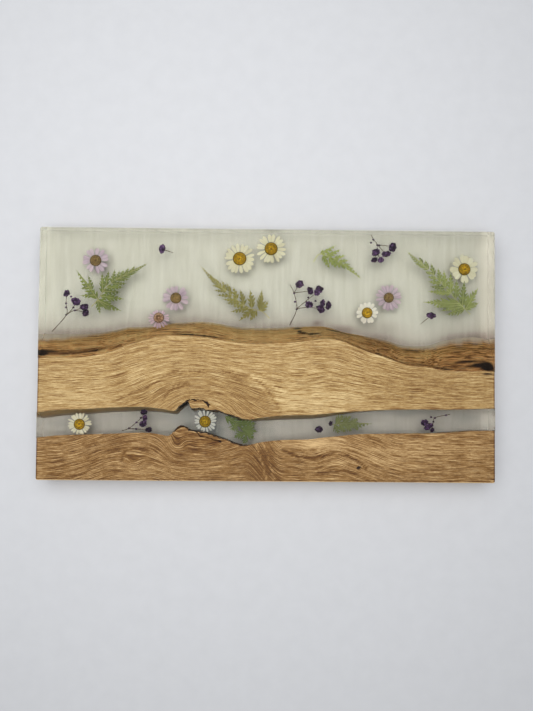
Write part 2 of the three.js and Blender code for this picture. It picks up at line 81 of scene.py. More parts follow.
# Natural edge of the upper plank where it meets the resin field: points [x, y] along its top line
LIVE_EDGE = [
    (-230, -5), (-210, -5), (-190, -4), (-173, -2), (-155, 2.5), (-140, 8.5), (-129, 12), (-107, 17.5),
    (-86, 18), (-66, 17), (-49, 14.5), (-32, 12), (-8, 11), (18, 12), (43, 14.5), (59, 16.5), (73, 15),
    (86, 10), (101, 4), (120, -2), (140, -9), (160, -11), (181, -15), (201, -15), (219, -14.5),
    (230, -15.5),
]

# How far that edge slopes out under the resin, from the top face to the underside: [x, reach]
LIVE_REACH = [
    (-230, 25), (-180, 24), (-150, 22), (-125, 15), (-93, 14.5), (-68, 17), (-24, 17), (40, 16), (62, 13),
    (76, 11.5), (97, 16), (121, 19.5), (165, 23), (182, 31), (208, 35), (230, 34),
]
LIVE_MIDDLE_DEPTH = 12
LIVE_MIDDLE_SHARE = 0.6

# Banks of the crack between the planks, along their top lines: [x, y]
NORTH_BANK = [
    (-230, -59.5), (-208, -57), (-180, -55.5), (-151, -54), (-122, -53.5), (-103, -55.5), (-92, -56.7),
    (-88, -53.3), (-82, -48.5), (-79, -48), (-76.5, -53.7), (-69, -54), (-59, -56), (-48, -57),
    (-40, -59.7), (-34, -61.7), (-26, -64.3), (-18, -65.3), (-11, -64.2), (3, -62.2), (17, -60.7),
    (43, -60), (61, -58.6), (76, -57), (96, -55.5), (120, -54.3), (148, -53.6), (186, -53.5), (230, -52),
]
SOUTH_BANK = [
    (-230, -85), (-212, -82.7), (-188, -81.6), (-150, -80), (-127, -79), (-113, -79.6), (-103, -81.4),
    (-98, -82), (-94, -78.6), (-90, -74), (-86, -71.5), (-82, -72.5), (-78, -75), (-66, -78), (-57, -80),
    (-48, -83), (-40, -85.7), (-32, -88.6), (-23, -91), (-18, -90.5), (-7, -88), (8, -86), (22, -85),
    (43, -84.4), (56, -82.6), (72, -81), (91, -79), (120, -78.3), (148, -78), (174, -77.4), (190, -76.3),
    (205, -75), (230, -74.6),
]

# The crack leans: both banks shift this far towards -Y from the top face to the underside, [x, lean]
CRACK_LEAN = [
    (-230, 7.5), (-150, 6), (-100, 5), (-60, 2.5), (-16, 3.5), (4, 5.5), (50, 5.5), (90, 3), (120, 2),
    (230, 1.5),
]

# Daisies: centre, petal and eye radius, petal count, and the share of its room that a petal fills. Soaked
# petals have a colour of their own, and short is the share that petals lack towards the angle short_at.
DAISIES = [
    dict(name="white_daisy_1", x=-29, y=98, radius=16, eye=6.9, petals=18, spread=0.74, soaked=True),
    dict(name="white_daisy_2", x=3, y=108.5, radius=15.5, eye=6.7, petals=18, spread=0.74, soaked=True),
    dict(name="white_daisy_3", x=101, y=43.5, radius=11.4, eye=5.5, petals=14, spread=0.76),
    dict(name="white_daisy_4", x=201, y=89.5, radius=14.8, eye=6.3, petals=14, spread=0.84, soaked=True),
    dict(
        name="white_daisy_5", x=-188, y=-71.5, radius=12.2, eye=5.6, petals=21, spread=0.7, soaked=True,
        short=0.14, short_at=-90,
    ),
    dict(
        name="white_daisy_6", x=-62, y=-67.8, radius=12.2, eye=6, petals=19, spread=0.62,
        short=0.16, short_at=-125,
    ),
    dict(name="lilac_daisy_1", x=-175.5, y=94.5, radius=13.5, eye=5.8, petals=13, spread=0.7, soaked=True),
    dict(name="lilac_daisy_2", x=-93.5, y=57, radius=13.5, eye=5.6, petals=13, spread=0.68, soaked=True),
    dict(
        name="lilac_daisy_3", x=-110, y=36.5, radius=11.5, eye=5.3, petals=18, spread=0.54,
        short=0.3, short_at=90, ringed=True,
    ),
    dict(name="lilac_daisy_4", x=123.5, y=59.5, radius=13.8, eye=5.2, petals=15, spread=0.68, soaked=True),
]

# Fern fronds: how wide the lobes spread, where that isn't the usual share, the stem's points, and each
# leaflet as (root x, root y, tip x, tip y, half width)
FERNS = [
    dict(
        name="fern_frond_1",
        spread=1.6,
        stem=[(-178, 47), (-172, 54), (-164, 66), (-152, 76), (-123, 91)],
        leaflets=[
            (-154, 74, -121, 92, 3.2), (-167, 61, -168, 82, 3), (-164, 68, -161, 84, 3),
            (-158, 71, -155, 85, 2.6), (-154, 74, -150, 84, 2.2), (-150, 76, -146, 85, 2),
            (-145, 79, -141, 87, 1.8), (-139, 82, -135, 89, 1.5), (-147, 79, -139, 79, 1.7),
            (-152, 76, -140, 75, 2), (-158, 71, -143, 71, 2.6), (-163, 67, -146, 67, 2.8),
            (-166, 63, -149, 62, 3.2), (-169, 58, -145, 55, 3.6), (-172, 54, -148, 43, 4),
            (-172, 54, -159, 43, 3), (-172, 55, -194, 84, 3.6), (-178, 64, -182, 79, 2.4),
            (-180, 67, -189, 65, 2), (-174, 59, -190, 58, 2.4), (-172, 54, -169, 39, 2.4),
        ],
    ),
    dict(
        name="fern_frond_2",
        stem=[(2, 37), (-6, 44), (-21, 48), (-37, 60), (-55, 74), (-68, 89)],
        leaflets=[
            (-42, 64, -69, 90, 3), (-55, 74, -58, 81, 1.6), (-50, 70, -53, 77, 1.8),
            (-42, 64, -47, 75, 2.2), (-37, 60, -42, 73, 2.4), (-31, 56, -35, 69, 2.6),
            (-24, 50, -28, 66, 3.6), (-16, 47, -18, 66, 4), (-7, 44, -6, 66, 4.6), (-7, 44, 1, 55, 3),
            (-48, 69, -57, 70, 1.6), (-42, 64, -55, 65, 1.8), (-36, 59, -52, 60, 2.2),
            (-31, 55, -46, 56, 2.4), (-28, 53, -42, 52, 2.4), (-24, 50, -36, 49, 2.4),
            (-19, 48, -38, 43, 3), (-14, 46, -29, 34, 3.6), (-11, 45, -18, 34, 3),
        ],
    ),
    dict(
        name="fern_frond_3",
        stem=[(46, 95), (53, 103), (68, 98), (80, 90), (93, 79)],
        leaflets=[
            (76, 93, 95, 78, 2.4), (53, 103, 69, 112, 2.8), (59, 101, 74, 108, 3), (67, 98, 79, 102, 2.6),
            (72, 95, 82, 97, 2.2), (77, 92, 84, 93, 1.8), (56, 102, 63, 88, 3), (62, 100, 70, 88, 3),
            (67, 98, 74, 88, 2.6), (72, 95, 79, 87, 2.2),
        ],
    ),
    dict(
        name="fern_frond_4",
        spread=1.8,
        stem=[(206, 43), (199, 50), (185, 65), (171, 80), (155, 96), (142, 106)],
        leaflets=[
            (163, 88, 141, 107, 2.6), (157, 94, 154, 101, 1.6), (163, 88, 160, 98, 2),
            (169, 82, 166, 95, 2.2), (176, 75, 173, 90, 2.4), (181, 70, 179, 88, 2.6),
            (186, 64, 186, 86, 3), (191, 59, 192, 78, 3.4), (198, 51, 200, 77, 4), (167, 84, 160, 86, 1.6),
            (172, 79, 162, 81, 1.8), (176, 74, 163, 76, 2.2), (180, 70, 165, 71, 2.4),
            (186, 64, 163, 66, 2.8), (195, 54, 158, 55, 4.2), (197, 52, 169, 50, 3),
            (199, 51, 175, 46, 3), (200, 49, 181, 42, 3), (201, 48, 214, 70, 4), (201, 48, 215, 55, 3),
        ],
    ),
    dict(
        name="fern_frond_5",
        spread=2.3,
        stem=[(-42, -63), (-31, -70), (-22, -79), (-20.5, -88)],
        leaflets=[
            (-42, -63, -26, -73, 3), (-31, -70, -34, -77, 3), (-31, -70, -10, -70, 3.2),
            (-26, -75, -9, -78, 3.4), (-22, -79, -33, -84, 2.6), (-23, -78, -12, -85, 2.8),
            (-21, -82, -23, -90, 2.2),
        ],
    ),
    dict(
        name="fern_frond_6",
        spread=1.8,
        stem=[(66, -70), (85, -69), (105, -69)],
        leaflets=[
            (76, -69, 107, -69, 3), (70, -70, 78, -60, 3.4), (77, -69, 86, -61, 3.2),
            (85, -69, 93, -64, 2.6), (69, -70, 73, -79, 3.2), (74, -69, 80, -78, 3),
            (80, -69, 86, -77, 3), (87, -69, 93, -76, 2.6),
        ],
    ),
]

# Purple sprigs and single blossoms: stalks as lists of points, and blossoms as
# (x, y, half length, half width, turn in degrees), and small buds on the stalks as (x, y)
SPRIGS = [
    dict(
        name="purple_sprig_1",
        stalks=[
            [(-217, 21.5), (-203, 38.5), (-203.5, 50), (-203, 59)], [(-203, 38.5), (-196.5, 45), (-194, 51)],
            [(-203, 38.5), (-194.5, 43), (-184, 41)], [(-194.5, 43), (-186, 46)],
        ],
        blossoms=[
            (-203, 60, 3.6, 2.8, 60), (-193.5, 52, 4.6, 3.6, -40), (-185, 46.5, 4, 3, 10),
            (-183.5, 40.5, 3.6, 3, 80),
        ],
        buds=[
            (-203.4, 50), (-203.3, 46), (-198.5, 57), (-195.5, 49.5), (-196, 46), (-194.4, 43), (-203, 38.6),
        ],
    ),
    dict(
        name="purple_sprig_2",
        stalks=[
            [(22.5, 30), (29.5, 47), (26.5, 63), (22.5, 71.5)], [(29.5, 47), (39, 55), (49, 63)],
            [(26.5, 63), (42, 65)], [(26.5, 63), (31.5, 71)], [(49, 63), (52, 66.5)], [(39, 55), (41.5, 52)],
            [(29.5, 47), (42, 48.5), (54, 46.5)], [(54, 46.5), (55.5, 52)], [(54, 46.5), (61, 50)],
        ],
        blossoms=[
            (32, 72, 4.1, 3.6, 20), (43, 65.5, 3.9, 2.8, 105), (52, 67, 4, 3.4, 0),
            (50, 63.5, 3.2, 3, 60), (42, 51, 3.7, 3.2, 20), (55.5, 52.5, 3.8, 2.6, 75),
            (54, 46.5, 4.1, 3.4, 110), (61.5, 50.5, 4.1, 2.6, 85),
        ],
        buds=[(26.6, 62.5), (27.6, 54), (29.4, 46.5), (39.2, 53.5), (48.5, 55), (50, 49), (41, 58.5)],
    ),
    dict(
        name="purple_sprig_3",
        stalks=[
            [(104.5, 123.5), (107, 118.5), (111, 113), (110, 106)], [(111, 113), (119, 104.5)],
            [(111, 113), (125, 111.5)], [(110, 106), (108.5, 98.5)], [(110, 106), (114, 98.5)],
        ],
        blossoms=[
            (126.5, 110.5, 4.6, 3.8, 75), (109.5, 105, 4, 3.3, 40), (120, 103.5, 4.4, 3, 10),
            (108, 97.5, 3.4, 2.4, 30), (114.5, 97.5, 3, 2.6, 20),
        ],
        buds=[(107, 118.2), (104.5, 115), (110.8, 112.5), (113, 112.4)],
    ),
    dict(
        name="purple_sprig_4",
        stalks=[
            [(-146, -78), (-139, -75.5), (-131.5, -69.5), (-126.5, -64.5), (-124, -59.5)],
            [(-126.5, -64.5), (-123, -65)], [(-131.5, -69.5), (-125, -70.5)],
            [(-139, -75.5), (-131, -76), (-119.5, -76.5)],
        ],
        blossoms=[
            (-124, -59, 3.4, 2.8, 10), (-123, -65, 3.2, 2.3, 80), (-124.5, -70.5, 3.6, 3.1, 50),
            (-119, -76.5, 3.2, 2.3, 10),
        ],
        buds=[(-138.8, -75.3), (-131.4, -69.4), (-131.5, -76), (-127, -64.8)],
    ),
    dict(
        name="purple_sprig_5",
        stalks=[
            [(185, -58.5), (170, -62), (168, -68), (166.5, -74)],
            [(168, -68), (160, -67)], [(168, -68), (162.5, -72)],
        ],
        blossoms=[
            (159.5, -67, 3.4, 3, 20), (164.5, -70, 3.4, 2.4, 15), (162, -72.5, 3, 2.2, 0),
            (167, -74.5, 2.3, 1.9, 30),
        ],
        buds=[(169.8, -62.2), (166, -61.5), (168.3, -66), (181, -59.3)],
    ),
    dict(
        name="purple_blossom_1",
        stalks=[[(-107, 106), (-96, 102.5)]],
        blossoms=[(-107.5, 106.5, 4.6, 3, 75)],
    ),
    dict(
        name="purple_blossom_2",
        stalks=[[(166, 41.5), (155, 32.5)]],
        blossoms=[(166, 41.5, 4.6, 3.2, -10)],
    ),
    dict(name="purple_blossom_3", stalks=[], blossoms=[(52.5, -74.5, 4.1, 3, 0)]),
    dict(name="purple_blossom_4", stalks=[], blossoms=[(64.5, -68.5, 2.5, 2, 60)]),
]


def smooth_line(points):
    """A smooth line through (x, value) points, as a function of x"""
    xs, values = np.array(points, float).T
    slopes = np.diff(values) / np.diff(xs)
    bends = np.concatenate([slopes[:1], (slopes[1:] + slopes[:-1]) / 2, slopes[-1:]])

    def line(x):
        x = np.clip(x, xs[0], xs[-1])
        i = np.clip(np.searchsorted(xs, x) - 1, 0, len(xs) - 2)
        span = xs[i + 1] - xs[i]
        t = (x - xs[i]) / span
        start = (1 + 2 * t) * (1 - t) ** 2 * values[i] + t * (1 - t) ** 2 * span * bends[i]
        return start + t * t * (3 - 2 * t) * values[i + 1] + t * t * (t - 1) * span * bends[i + 1]

    return line


def step_between(low, high, value):
    """0 below low, 1 above high and smooth between them"""
    t = np.clip((value - low) / (high - low), 0, 1)
    return t * t * (3 - 2 * t)


def round_inset(distance, radius):
    """How far a rounded edge stays inside the sharp one, at a distance from that edge"""
    short = np.clip(radius - distance, 0, radius)
    return radius - np.sqrt(radius**2 - short**2)


perlin = np.vectorize(lambda x, y, z: noise.noise((x, y, z)))

# Walls between wood and resin: y at a place along x and a depth below the top face
live_top = smooth_line(LIVE_EDGE)
live_reach = smooth_line(LIVE_REACH)
crack_lean = smooth_line(CRACK_LEAN)


def live_wall(x, depth):
    below = (depth - LIVE_MIDDLE_DEPTH) / (THICKNESS - LIVE_MIDDLE_DEPTH)
    upper = LIVE_MIDDLE_SHARE * depth / LIVE_MIDDLE_DEPTH
    lower = LIVE_MIDDLE_SHARE + (1 - LIVE_MIDDLE_SHARE) * below
    return live_top(x) + live_reach(x) * np.where(depth < LIVE_MIDDLE_DEPTH, upper, lower)


def bank_wall(points):
    """A bank of the crack, which leans below its top line"""
    top = smooth_line(points)

    def wall(x, depth):
        return top(x) - crack_lean(x) * depth / THICKNESS
    return wall


north_wall = bank_wall(NORTH_BANK)
south_wall = bank_wall(SOUTH_BANK)


def outer_wall(side, ease=EDGE_EASE):
    """The board's own long side, with eased edges and rounded corners"""
    def wall(x, depth):
        inset = round_inset(HALF_LENGTH - np.abs(x), CORNER_RADIUS) + round_inset(depth, ease)
        return side * (HALF_WIDTH - inset - round_inset(THICKNESS - depth, ease))
    return wall


RIDGE_HEIGHT, FINE_RIDGE_HEIGHT, BROAD_LUMP_HEIGHT = 0.28, 0.16, 0.35
FULLY_ROUGH_DEPTH = 2.5


def fibrous(wall, outwards, coarse=1.0):
    """A natural wood face: the wall with ridges along the grain and broad lumps, none at its top line"""
    def rough_wall(x, depth):
        ridges = perlin(x / 9, depth / 1.6, 3.1) * RIDGE_HEIGHT
        ridges = ridges + perlin(x / 3.5, depth / 2.5, 7.7) * FINE_RIDGE_HEIGHT
        lumps = perlin(x / 14, depth / 7, 1.3) * BROAD_LUMP_HEIGHT
        fade = np.clip(depth / FULLY_ROUGH_DEPTH, 0, 1)
        return wall(x, depth) + outwards * coarse * fade * (ridges + lumps)
    return rough_wall


def sunk(wall, into_wood):
    """The resin's side of a wall: a little inside the wood, so that no air is left between them"""
    def resin_wall(x, depth):
        return wall(x, depth) + into_wood * np.clip(RESIN_TOP_SINK + RESIN_SINK_SLOPE * depth, 0, RESIN_SINK)
    return resin_wall


# Stations along the board, closer together at its rounded ends and in the crack's roughest stretch
END_STEPS = np.array([0, 0.04, 0.12, 0.5, 1, 2])
END_ROOM = 4
LONG_STEP = 2.0
FINE_STEP = 0.6
FINE_FROM, FINE_TO = -98, -12


def stations(fine=False):
    middle = np.arange(END_ROOM - HALF_LENGTH, HALF_LENGTH - END_ROOM + 1, LONG_STEP)
    if fine:
        outside = (middle < FINE_FROM) | (middle > FINE_TO)
        middle = np.concatenate([middle[outside], np.arange(FINE_FROM, FINE_TO, FINE_STEP)])
    ends = HALF_LENGTH - END_STEPS
    return np.sort(np.concatenate([-ends, middle, ends]))


TOP, NORTH, UNDER, SOUTH = range(4)


def ring_quads(rings, sides):
    """Quads between closed rings of points that follow each other"""
    index = np.arange(rings * sides).reshape(rings, sides)
    after = np.roll(index, -1, axis=1)
    return np.stack([index[:-1], after[:-1], after[1:], index[1:]], -1).reshape(-1, 4).tolist()


class Slab:
    """A closed slab between two walls: one ring of points at each station along x. A ring runs along the
    top face from south to north, down the north wall, back along the underside and up the south wall."""

    def __init__(self, xs, south, north, shares, depths, inset=0.0, ease=EDGE_EASE):
        x = xs[:, None]
        south_y, north_y = south(x, depths[None, :]), north(x, depths[None, :])
        span = north_y - south_y
        top_y = south_y[:, :1] + span[:, :1] * shares
        under_y = south_y[:, -1:] + span[:, -1:] * shares
        inner = slice(1, -1)
        self.count, self.levels = len(shares), len(depths) - 2
        parts = [top_y, north_y[:, inner], under_y[:, ::-1], south_y[:, inner][:, ::-1]]
        self.y = np.concatenate(parts, axis=1)
        row = np.zeros(self.count)
        depth = np.concatenate([row, depths[inner], row + THICKNESS, depths[inner][::-1]])
        self.depth = np.broadcast_to(depth, self.y.shape)
        self.face = np.repeat([TOP, NORTH, UNDER, SOUTH], [len(part[0]) for part in parts])
        # The foot of each wall has the wall's own marks
        north_foot = self.count + self.levels
        self.face[[north_foot, north_foot + self.count - 1]] = NORTH, SOUTH
        self.x = np.broadcast_to(x, self.y.shape)
        to_end = HALF_LENGTH - np.abs(self.x)
        edge = round_inset(to_end, ease) + inset
        self.z = edge + (THICKNESS - 2 * edge) * (1 - self.depth / THICKNESS)
        self.shrink = 1 - inset / HALF_LENGTH

    def cap(self, station):
        """Faces of one end: quads from the top row to the underside, and a face along each wall"""
        size = self.y.shape[1]
        ring = station * size + np.arange(size)
        ends = np.cumsum([self.count, self.levels, self.count])
        top, north, under, south = (part.tolist() for part in np.split(ring, ends))
        under.reverse()
        faces = [(top[j], top[j + 1], under[j + 1], under[j]) for j in range(1, self.count - 2)]
        faces.append((top[-2], top[-1], *north, under[-1], under[-2]))
        faces.append((top[1], under[1], under[0], *south, top[0]))
        return faces

    def faces(self):
        return ring_quads(*self.y.shape) + self.cap(0) + self.cap(len(self.y) - 1)

    def points(self):
        return np.stack([self.x * self.shrink, self.y, self.z], -1).reshape(-1, 3)


def add_piece(name, points, faces, materials, marks=None, sharp=None):
    """A mesh object from points in millimetres, with named values at its points. It is smooth but for
    edges sharper than the angle sharp, in degrees, and flat where sharp is None."""
    mesh = bpy.data.meshes.new(name)
    mesh.from_pydata((np.asarray(points) * MM).tolist(), [], faces)
    for key, values in (marks or {}).items():
        values = np.asarray(values, np.float32)
        kind, slot = ("FLOAT_VECTOR", "vector") if values.ndim == 2 else ("FLOAT", "value")
        mesh.attributes.new(key, kind, "POINT").data.foreach_set(slot, values.ravel())
    tidy = bmesh.new()
    tidy.from_mesh(mesh)
    bmesh.ops.recalc_face_normals(tidy, faces=tidy.faces)
    tidy.to_mesh(mesh)
    tidy.free()
    if sharp is not None:
        mesh.shade_smooth()
        mesh.set_sharp_from_angle(angle=math.radians(sharp))
    for material in materials:
        mesh.materials.append(material)
    piece = bpy.data.objects.new(name, mesh)
    bpy.context.scene.collection.objects.link(piece)
    return piece


def stand_for(piece, slot, *nodes):
    """The piece rides with the board in place of its CAD nodes"""
    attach(piece, "root")
    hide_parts(*nodes)


def srgb(red, green, blue):
    """A colour as seen on a screen, 0 to 255, as Blender's linear colour"""
    shares = [value / 255 for value in (red, green, blue)]
    linear = [s / 12.92 if s <= 0.04045 else ((s + 0.055) / 1.055) ** 2.4 for s in shares]
    return (*linear, 1.0)


class Paint:
    """A material under construction, with a short call for each kind of node that it needs"""

    def __init__(self, name):
        self.material = bpy.data.materials.new(name)
        self.material.use_nodes = True
        self.tree = self.material.node_tree
        self.shader = self.tree.nodes["Principled BSDF"]
        self.output = self.tree.nodes["Material Output"]

    def node(self, kind, **settings):
        made = self.tree.nodes.new("ShaderNode" + kind)
        for key, value in settings.items():
            setattr(made, key, value)
        return made

    def put(self, socket, value):
        """Links a socket to another one, or sets a plain value on it"""
        if isinstance(value, bpy.types.NodeSocket):
            self.tree.links.new(value, socket)
        else:
            socket.default_value = value

    def shade(self, **values):
        for key, value in values.items():
            self.put(self.shader.inputs[key.replace("_", " ")], value)

    def value(self, name):
        return self.node("Attribute", attribute_name=name).outputs["Fac"]

    def vector(self, name):
        return self.node("Attribute", attribute_name=name).outputs["Vector"]

    def place(self):
        return self.node("TexCoord").outputs["Object"]

    def part(self, vector, axis):
        split = self.node("SeparateXYZ")
        self.put(split.inputs[0], vector)
        return split.outputs[axis]

    def stretch(self, vector, scale):
        made = self.node("Mapping")
        self.put(made.inputs["Vector"], vector)
        made.inputs["Scale"].default_value = scale
        return made.outputs[0]

    def noise(self, vector, scale=1.0, detail=3.0, roughness=0.55, distortion=0.0):
        made = self.node("TexNoise")
        self.put(made.inputs["Vector"], vector)
        settings = dict(Scale=scale, Detail=detail, Roughness=roughness, Distortion=distortion)
        for key, value in settings.items():
            made.inputs[key].default_value = value
        return made.outputs["Fac"]

    def math(self, operation, *values):
        made = self.node("Math", operation=operation)
        for socket, value in zip(made.inputs, values):
            self.put(socket, value)
        return made.outputs[0]

    def total(self, start, *weighted):
        """start plus each value times its weight"""
        result = start
        for value, weight in weighted:
            result = self.math("MULTIPLY_ADD", value, weight, result)
        return result

    def level(self, value, low, high, to_low=0.0, to_high=1.0):
        made = self.node("MapRange", interpolation_type="SMOOTHSTEP")
        for socket, given in zip(made.inputs, (value, low, high, to_low, to_high)):
            self.put(socket, given)
        return made.outputs[0]

    def ramp(self, value, *stops):
        made = self.node("ValToRGB")
        self.put(made.inputs[0], value)
        elements = made.color_ramp.elements
        while len(elements) < len(stops):
            elements.new(1.0)
        for element, (position, colour) in zip(elements, stops):
            element.position = position
            element.color = colour
        return made.outputs[0]

    def mix(self, share, first, second, blend="MIX"):
        made = self.node("Mix", data_type="RGBA", blend_type=blend)
        for index, value in ((0, share), (6, first), (7, second)):
            self.put(made.inputs[index], value)
        return made.outputs[2]

    def finish(self, colour, roughness, height, strength, distance):
        """Sets the colour, the roughness and a relief, whose height is at most distance in millimetres"""
        made = self.node("Bump")
        for key, value in dict(Height=height, Strength=strength, Distance=distance * MM).items():
            self.put(made.inputs[key], value)
        self.shade(Base_Color=colour, Roughness=roughness, Normal=made.outputs[0])
        return self.material


# Oak. The mark "grain" holds the place along the grain, across it and into it, in millimetres.
def oak_paint(name, dark, middle, light):
    paint = Paint(name)
    grain = paint.vector("grain")
    bands = paint.noise(paint.stretch(grain, (0.012, 0.14, 0.05)), detail=3)
    lines = paint.noise(paint.stretch(grain, (0.05, 2.5, 1.4)), detail=2, roughness=0.5)
    streaks = paint.noise(paint.stretch(grain, (0.022, 0.6, 0.3)), detail=2, roughness=0.5)
    fibres = paint.noise(paint.stretch(paint.place(), (300, 1300, 1100)), detail=2, roughness=0.6)
    pores = paint.level(paint.noise(paint.stretch(grain, (0.12, 1.2, 0.7)), detail=1), 0.64, 0.74)
    year = paint.total(0.0, (paint.part(grain, 1), 0.16), (bands, 1.6), (streaks, 0.7))
    ring = paint.level(paint.math("FRACT", year), 0.6, 1.0)
    # The tone holds the wood's own darker and lighter patches, painted shade along the board's edges, and
    # painted light on the south walls
    shade = paint.total(
        -1.68, (bands, 0.3), (lines, 2.7), (streaks, 0.5), (fibres, 0.85), (pores, -0.2), (ring, -0.12),
        (paint.value("tone"), 0.6),
    )
    sawn = paint.ramp(shade, (0.0, dark), (0.5, middle), (1.0, light))

    skin_shade = paint.total(
        -1.82, (lines, 2.6), (streaks, 1.2), (fibres, 0.5), (bands, 0.5), (paint.value("tone"), 0.6),
    )
    skin_colour = paint.ramp(
        skin_shade, (0.1, srgb(108, 70, 38)), (0.5, srgb(232, 176, 108)), (0.9, srgb(255, 226, 160)),
    )
    colour = paint.mix(paint.value("skin"), sawn, skin_colour)
    # Bark, cracks and holes are black, and so is painted shade under the natural edge's top line
    black = paint.total(-1.4, (streaks, 1.2), (lines, 1.7), (paint.value("bark_and_shade"), 1.0))
    colour = paint.mix(paint.level(black, 0.3, 0.85), colour, srgb(30, 12, 6))
    # Haze: a painted pale veil over the deep wood, standing in for light that the milky resin scatters
    colour = paint.mix(paint.value("haze"), colour, srgb(250, 245, 246))

    roughness = paint.level(fibres, 0.3, 0.7, 0.42, 0.6)
    relief = paint.total(0.0, (lines, 1.0), (fibres, 0.4), (pores, -0.5))
    return paint.finish(colour, roughness, relief, 0.3, 0.1)


RESIN_INDEX = 1.5
RESIN_MIRROR = (0.25, 0.25, 0.25, 1.0)
RESIN_ROUGHNESS = 0.04
STREAK = (0.9, 0.9, 0.885, 1)
BLACK, WHITE = (0, 0, 0, 1), (1, 1, 1, 1)
FIELD_ABSORPTION = (26.0, (0.84, 0.82, 0.66, 1.0))
RIVER_ABSORPTION = (50.0, (0.77, 0.74, 0.67, 1.0))


def resin_paint(name, absorption, cloud_and_shade_tint):
    """Clear resin, faintly streaked, that takes a little of the blue light. Where the wood shades it, its
    colour is darkened towards a tint: painted shade.
    """
    paint = Paint(name)
    feathers = paint.noise(paint.stretch(paint.place(), (230, 24, 40)), detail=5, distortion=0.4)
    streaked = paint.ramp(feathers, (0.32, STREAK), (0.62, WHITE))
    # Painted shade: the streaked colour darkens towards the tint where the wood shades the resin
    tinted = paint.mix(paint.value("murk_and_shade"), streaked, cloud_and_shade_tint)
    paint.shade(Base_Color=tinted, Roughness=RESIN_ROUGHNESS, IOR=RESIN_INDEX, Transmission_Weight=1.0)
    paint.shade(Specular_Tint=RESIN_MIRROR)
    density, tint = absorption
    absorber = paint.node("VolumeAbsorption")
    absorber.inputs["Color"].default_value = tint
    absorber.inputs["Density"].default_value = density
    paint.put(paint.output.inputs["Volume"], absorber.outputs[0])
    return paint.material


# Specimens. The mark "mark" holds the place across a petal or leaflet, -1 to 1, the place along it, 0 to 1,
# and a chance value of its own. On an eye the first is the distance from the middle.
def petal_paint(name, base, tip, vein):
    paint = Paint(name)
    mark = paint.vector("mark")
    across, along, chance = (paint.part(mark, axis) for axis in range(3))
    lines = paint.noise(paint.stretch(mark, (5.0, 0.7, 9.0)), detail=3)
    colour = paint.ramp(along, (0.1, base), (0.45, tip))
    rim = paint.level(paint.math("ABSOLUTE", across), 0.7, 1.0)
    veins = paint.total(0.0, (paint.level(lines, 0.42, 0.66), 0.5), (rim, 0.3), (chance, 0.35))
    colour = paint.mix(veins, colour, vein)
    return paint.finish(colour, paint.level(lines, 0.3, 0.7, 0.5, 0.75), lines, 0.4, 0.15)


EYE_RING_STOPS = (0.06, 0.28, 0.6, 0.8, 0.99)


def eye_paint(name, *colours):
    """Dry florets, with colours from the middle of the eye out to its rim"""
    paint = Paint(name)
    mark = paint.vector("mark")
    rings = zip(EYE_RING_STOPS, [srgb(*colour) for colour in colours])
    grit = paint.noise(paint.place(), scale=2600, detail=2)
    specks = paint.noise(paint.place(), scale=620, detail=3, roughness=0.7)
    wobble = paint.total(-0.25, (paint.part(mark, 0), 1.0), (specks, 0.5))
    colour = paint.ramp(wobble, *rings)
    # Painted shade: the colour darkens in the creases between florets
    floret_crease_shade = paint.level(paint.part(mark, 1), 0.0, 0.8, 0.25, 1.0)
    flecks = paint.level(specks, 0.4, 0.62)
    shade = paint.total(-0.12, (floret_crease_shade, 0.35), (paint.part(mark, 2), 0.2), (grit, 0.25), (flecks, 0.55))
    colour = paint.mix(1.0, colour, paint.ramp(shade, (0, BLACK), (1, WHITE)), "MULTIPLY")
    return paint.finish(colour, paint.level(grit, 0.3, 0.7, 0.65, 0.9), grit, 0.4, 0.12)


def fern_paint(name, dark, light, rib):
    paint = Paint(name)
    mark = paint.vector("mark")
    across, along, chance = (paint.part(mark, axis) for axis in range(3))
    blotches = paint.noise(paint.place(), scale=260, detail=4)
    fine = paint.noise(paint.stretch(mark, (6.0, 14.0, 9.0)), detail=2)
    shade = paint.total(-0.3, (blotches, 0.9), (fine, 0.35), (chance, 0.25), (along, 0.12))
    colour = paint.ramp(shade, (0.15, dark), (0.75, light))
    middle = paint.level(paint.math("ABSOLUTE", across), 0.05, 0.3, 0.25, 0.0)
    rim = paint.level(paint.math("ABSOLUTE", across), 0.7, 1.0, 0.0, 0.35)
    ribs = paint.level(chance, 1.2, 1.5)
    colour = paint.mix(paint.math("MAXIMUM", paint.math("MAXIMUM", middle, rim), ribs), colour, rib)
    relief = paint.total(0.0, (fine, 1.0), (middle, 1.0))
    return paint.finish(colour, paint.level(fine, 0.3, 0.7, 0.55, 0.8), relief, 0.4, 0.12)


def blossom_paint():
    paint = Paint("dried_purple_blossom")
    mark = paint.vector("mark")
    crumple = paint.noise(paint.place(), scale=900, detail=4, roughness=0.65)
    # Painted light and shade: lighter on the tops of the lumps and darker in the creases between them; the
    # crumple adds mottling
    shade = paint.total(-0.25, (paint.part(mark, 0), 0.55), (crumple, 0.9), (paint.part(mark, 2), 0.15))
    colour = paint.ramp(
        shade, (0.3, srgb(12, 3, 16)), (0.58, srgb(50, 23, 62)), (0.88, srgb(146, 106, 166)),
    )
    return paint.finish(colour, paint.level(crumple, 0.3, 0.7, 0.6, 0.85), crumple, 0.6, 0.25)


def stalk_paint():
    paint = Paint("dried_stalk")
    fibres = paint.noise(paint.stretch(paint.vector("mark"), (3.0, 20.0, 9.0)), detail=3)
    colour = paint.ramp(fibres, (0.3, srgb(52, 38, 36)), (0.7, srgb(124, 104, 90)))
    return paint.finish(colour, paint.level(fibres, 0.3, 0.7, 0.6, 0.8), fibres, 0.4, 0.1)


